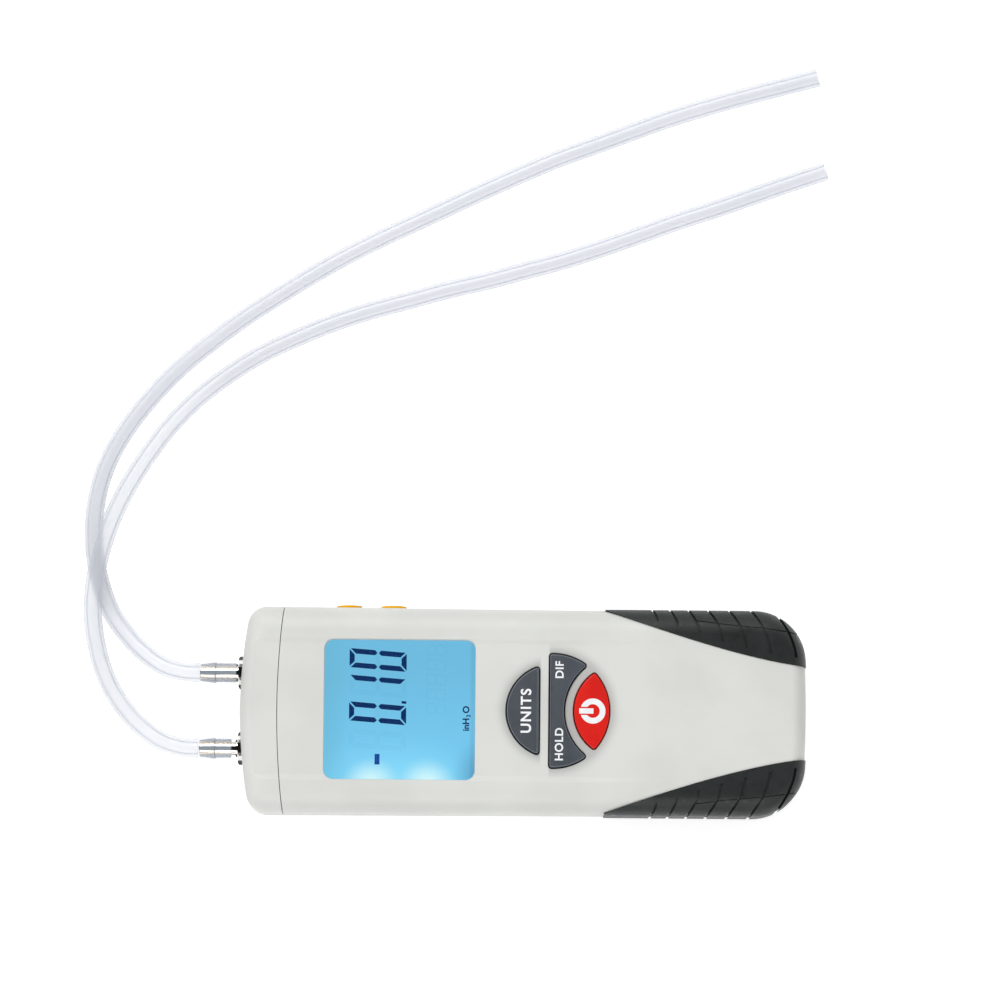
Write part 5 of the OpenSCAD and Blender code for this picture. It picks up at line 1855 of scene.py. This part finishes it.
@dataclass
class Keypad:
    """Three keys in one round cluster, with their generic legends."""

    housing: Housing
    cluster_r: float = 18.2
    units_r: float = 14.7
    units_flat: float = 4.4
    rocker_flat: float = 0.9
    arc_back: float = 21.7
    hollow_r: float = 18.1
    front_r: float = 14.8
    gap: float = 0.35
    edge_z: float = 29.9
    dome_r: float = 150.0
    corner: float = 0.7
    rim_w: float = 0.5
    rim_h: float = 0.4
    skirt: tuple[Flat, ...] = ((25.7, 0.8), (26.7, 0.8), (26.7, 0.0))
    rocker_foot: tuple[Flat, ...] = ((26.4, 0.0),)
    print_t: float = 0.05
    bold: float = 0.032
    mark_x: float = 22.4
    mark_r: Flat = (4.05, 2.2)
    mark_gap: float = 1.3
    mark_bar: tuple[Flat, ...] = ((18.0, -0.85), (22.6, -0.85), (22.6, 0.85), (18.0, 0.85))

    def top(self, x: float, y: float) -> float:
        """Height of the domed key tops."""
        rise = self.cluster_r**2 / (2 * self.dome_r)
        return self.edge_z - 0.06 + rise - ((x - KEYS_X) ** 2 + y * y) / (2 * self.dome_r)

    def meet(self, r1: float, r2: float) -> Flat:
        """Where the outer circle and a circle about the rear point cross."""
        x = (r1 * r1 - r2 * r2 + self.arc_back**2) / (2 * self.arc_back)
        return x, math.sqrt(r1 * r1 - x * x)

    def outline(self, key: str) -> list[Flat]:
        """Outline of a key with rounded corners.

        Args:
            key: Which key it is.

        Returns:
            The outline.
        """
        r, c, d = self.corner, (KEYS_X, 0.0), (KEYS_X + self.arc_back, 0.0)
        big = self.cluster_r - r
        if key == "units":
            big = self.units_r - r
            a = math.degrees(math.acos(-(self.units_flat + r) / big))
            points = arc(c, big, a, 360 - a, 60)
        elif key == "power":
            near = self.front_r - r
            x, y = self.meet(big, near)
            a, b = math.degrees(math.atan2(y, x)), math.degrees(math.atan2(y, x - self.arc_back))
            points = [*arc(c, big, -a, a, 40), *arc(d, near, b, 360 - b, 40, 1)[:-1]]
        else:
            hollow = self.hollow_r + r
            x, y = self.meet(big, hollow)
            a = math.degrees(math.atan2(y, x))
            b = math.degrees(math.acos((r - self.rocker_flat) / big))
            e = math.degrees(math.atan2(y, x - self.arc_back))
            points = [*arc(c, big, a, b, 24), *arc(c, big, -b, -a, 24),
                      *arc(d, hollow, 360 - e, e, 44, 1)[:-1]]
        return grown(points, r, 6)

    def cap(self, key: str, low: Sequence[Flat]) -> Thing:
        """Builds a key.

        Args:
            key: Which key it is.
            low: Heights and growths of the rings under its wall.

        Returns:
            The key.
        """
        edge = self.outline(key)
        rings = [at(grown(edge, g), z) for z, g in low]
        for t in quarter(6):
            ring = grown(edge, -self.rim_w * (1 - math.cos(t)))
            rings.append([(x, y, self.top(x, y) - self.rim_h * (1 - math.sin(t))) for x, y in ring])
        return polish(crowned(f"{key}_key_cap", rings, 1.0, self.top), 0, math.radians(40))

    def power_mark(self) -> Thing:
        """Ring with a gap and a bar, the usual mark of a power key.

        Returns:
            The mark.
        """
        (outer, inner), n, middle = self.mark_r, 48, (self.mark_x, 0)
        wide, tight = (math.degrees(math.asin(self.mark_gap / r)) for r in self.mark_r)
        ring = [*arc(middle, outer, 180 + wide, 540 - wide, n),
                *arc(middle, inner, 540 - tight, 180 + tight, n)]
        quads = [[ring[i], ring[i + 1], ring[2 * n - i], ring[2 * n + 1 - i]] for i in range(n)]
        mark = print_bars("power_mark", [*quads, self.mark_bar], 0, self.print_t)
        for vertex in mark.data.vertices:
            vertex.co.z += self.top(vertex.co.x / MM, vertex.co.y / MM) * MM
        return mark

    def openings(self) -> list[Thing]:
        """Tools for the three openings."""
        return [self.housing.opening(grown(self.outline(k), self.gap), 0.35)
                for k in ("units", "rocker", "power")]

    def build(self) -> None:
        """Builds and dresses the keys and their legends."""
        for key, low, finish, body, slot, node in (
                ("units", self.skirt, SLATE, "units_key", "key_slate", "key_units"),
                ("power", self.skirt, RED, "power_key", "key_red", "key_power"),
                ("rocker", self.rocker_foot, SLATE, "hold_dif_key", "key_slate", "key_hold_dif")):
            place(self.cap(key, low), finish, body, slot, node)
        for name, words, spacing, body in (
                ("units_legend", [("UNITS", 3.35, (2.5, -7.35))], 1.16, "units_key"),
                ("rocker_legend", [("DIF", 2.65, (12.85, 10.3)), ("HOLD", 2.65, (12.85, -16.1))],
                 1.09, "hold_dif_key")):
            legend = lettering(name, words, self.top, self.print_t, self.bold, spacing)
            place(legend, LETTERING, body, "white_plastic")
        place(self.power_mark(), LETTERING, "power_key", "white_plastic")


@dataclass
class Screws:
    """Cross-head screws that a node tree sets on given places."""

    name: str
    node: str
    spots: Sequence[Place]
    seed: int
    head_r: float = 2.8
    head_t: float = 2.0
    shank_r: float = 1.5
    shank_l: float = 14.0

    def tree(self, values: dict[str, float]) -> bpy.types.NodeTree:
        """Node tree that makes a screw and sets it on each point.

        Args:
            values: Its named lengths.

        Returns:
            The tree.
        """
        made = bpy.data.node_groups.new(f"{self.name} tree", "GeometryNodeTree")
        add_sockets(made, "INPUT", "Geometry", "Geometry")
        add_sockets(made, "INPUT", "Float", *values)
        add_sockets(made, "INPUT", "Int", "Seed")
        add_sockets(made, "OUTPUT", "Geometry", "Geometry")
        t = Tree(made)
        given = t.put("NodeGroupInput").outputs

        def rod(radius: Socket, depth: Socket, n: int, z: Socket) -> Socket:
            """Cylinder with its middle at a height.

            Args:
                radius: Its radius.
                depth: Its length.
                n: Number of its sides.
                z: The height.

            Returns:
                The cylinder.
            """
            shape = t.put("GeometryNodeMeshCylinder", {
                "Vertices": n, "Radius": radius, "Depth": depth}).outputs["Mesh"]
            shift = t.put("ShaderNodeCombineXYZ", {2: z}).outputs[0]
            return t.put("GeometryNodeTransform", {"Geometry": shape, "Translation": shift}
                         ).outputs[0]

        head = rod(given["Head Radius"], given["Head Height"], 40,
                   t.calc("DIVIDE", given["Head Height"], 2.0))
        depth = t.times(given["Head Height"], 1.2)
        wide, thin = (t.times(given["Head Radius"], f) for f in (1.15, 0.26))
        bars = []
        for a, b in ((wide, thin), (thin, wide)):
            size = t.put("ShaderNodeCombineXYZ", {0: a, 1: b, 2: depth}).outputs[0]
            bars.append(t.put("GeometryNodeMeshCube", {"Size": size}).outputs["Mesh"])
        cross = t.put("GeometryNodeMeshBoolean", {"Mesh 2": bars[0]}, operation="UNION",
                      solver="EXACT")
        made.links.new(bars[1], cross.inputs["Mesh 2"])
        dug = t.put("GeometryNodeMeshBoolean", {"Mesh 1": head, "Mesh 2": cross.outputs[0]},
                    operation="DIFFERENCE", solver="EXACT")
        shank = rod(given["Shank Radius"], given["Shank Length"], 24,
                    t.calc("ADD", given["Head Height"],
                           t.calc("DIVIDE", given["Shank Length"], 2.02)))
        screw = t.put("GeometryNodeJoinGeometry", {0: dug.outputs[0]})
        made.links.new(shank, screw.inputs[0])
        turn = t.put("FunctionNodeRandomValue", {"Seed": given["Seed"]}, data_type="FLOAT_VECTOR")
        turn.inputs[0].default_value, turn.inputs[1].default_value = (0, 0, 0), (0, 0, 1.57)
        set_on = t.put("GeometryNodeInstanceOnPoints", {
            "Points": given["Geometry"], "Instance": screw.outputs[0], "Rotation": turn.outputs[0]})
        real = t.put("GeometryNodeRealizeInstances", {0: set_on.outputs[0]})
        painted = t.put("GeometryNodeSetMaterial", {"Geometry": real.outputs[0],
                                                    "Material": STEEL.material()})
        t.put("NodeGroupOutput", {0: painted.outputs[0]})
        return made

    def build(self) -> None:
        """Builds and dresses the screws, heads down."""
        values = {"Head Radius": self.head_r * MM, "Head Height": self.head_t * MM,
                  "Shank Radius": self.shank_r * MM, "Shank Length": self.shank_l * MM}
        screws = make(self.name, self.spots, [])
        modifier = screws.modifiers.new("set", "NODES")
        modifier.node_group = self.tree(values)
        values["Seed"] = self.seed
        for item in modifier.node_group.interface.items_tree:
            if item.in_out == "INPUT" and item.name in values:
                modifier[item.identifier] = values[item.name]
        bake(screws)
        place(polish(screws), STEEL, "housing", "steel", self.node)


@dataclass
class Battery:
    """Nine-volt block with its crimped rims and two studs."""

    ends: Flat = (39.8, 85.8)
    half: float = 13.25
    z: Flat = (3.8, 21.3)
    corner: float = 1.8
    rim: tuple[Flat, ...] = ((0, -0.9), (0, -0.35), (0.25, 0.0), (0.9, 0.0), (1.2, -0.25))
    stud_y: float = 6.35
    stud_profile: tuple[Flat, ...] = ((2.85, -0.2), (2.85, 1.2), (2.6, 1.6), (2.85, 2.2),
                                      (2.7, 2.4), (1.2, 2.4), (1.0, 2.0))

    def build(self) -> None:
        """Builds and dresses the battery."""
        (x0, x1), (low, high) = self.ends, self.z
        reach = self.half - self.corner, (high - low) / 2 - self.corner
        mid = (low + high) / 2
        steps = [(x0 + dx, g) for dx, g in self.rim] + [(x1 - dx, g) for dx, g in self.rim[::-1]]
        rings = [[(x, y, mid + z) for y, z in rounded(0, reach, self.corner + g, 8)]
                 for x, g in steps]
        case = loft("battery_block", rings)
        for side in (-1, 1):
            stud = turned("stud", self.stud_profile, aimed(x0, side * self.stud_y, mid, "Y"), n=40)
            combine(case, Cut.JOIN, stud)
        place(polish(case), CASE, "housing", "battery_case", "battery")


def main() -> None:
    """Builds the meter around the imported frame, camera and hoses first."""
    logging.basicConfig(level=logging.INFO, format="%(name)s: %(message)s")
    Studio().build()
    Hose("hose_upper_tube", "hose_upper", (-92.5, 12.2, 14), UPPER_ROUTE, 15).build()
    Hose("hose_lower_tube", "hose_lower", (-93.8, -12.2, 14), LOWER_ROUTE, 19).build()
    housing = Housing()
    buttons, ports, display, keypad = SideButtons(housing), Ports(), Display(), Keypad(housing)
    shells = Shells(housing, Grips(housing), buttons, ports)
    shells.build([housing.opening(display.outline(0.12), 0.4), *keypad.openings()])
    for piece in (display, keypad, buttons, ports, Battery()):
        piece.build()
    Screws("housing_screws_cross", "housing_screws", at(shells.bosses, 3.0), 3).build()
    for node, finish in INSIDE.items():
        dress(node, finish)


if __name__ == "__main__":
    main()
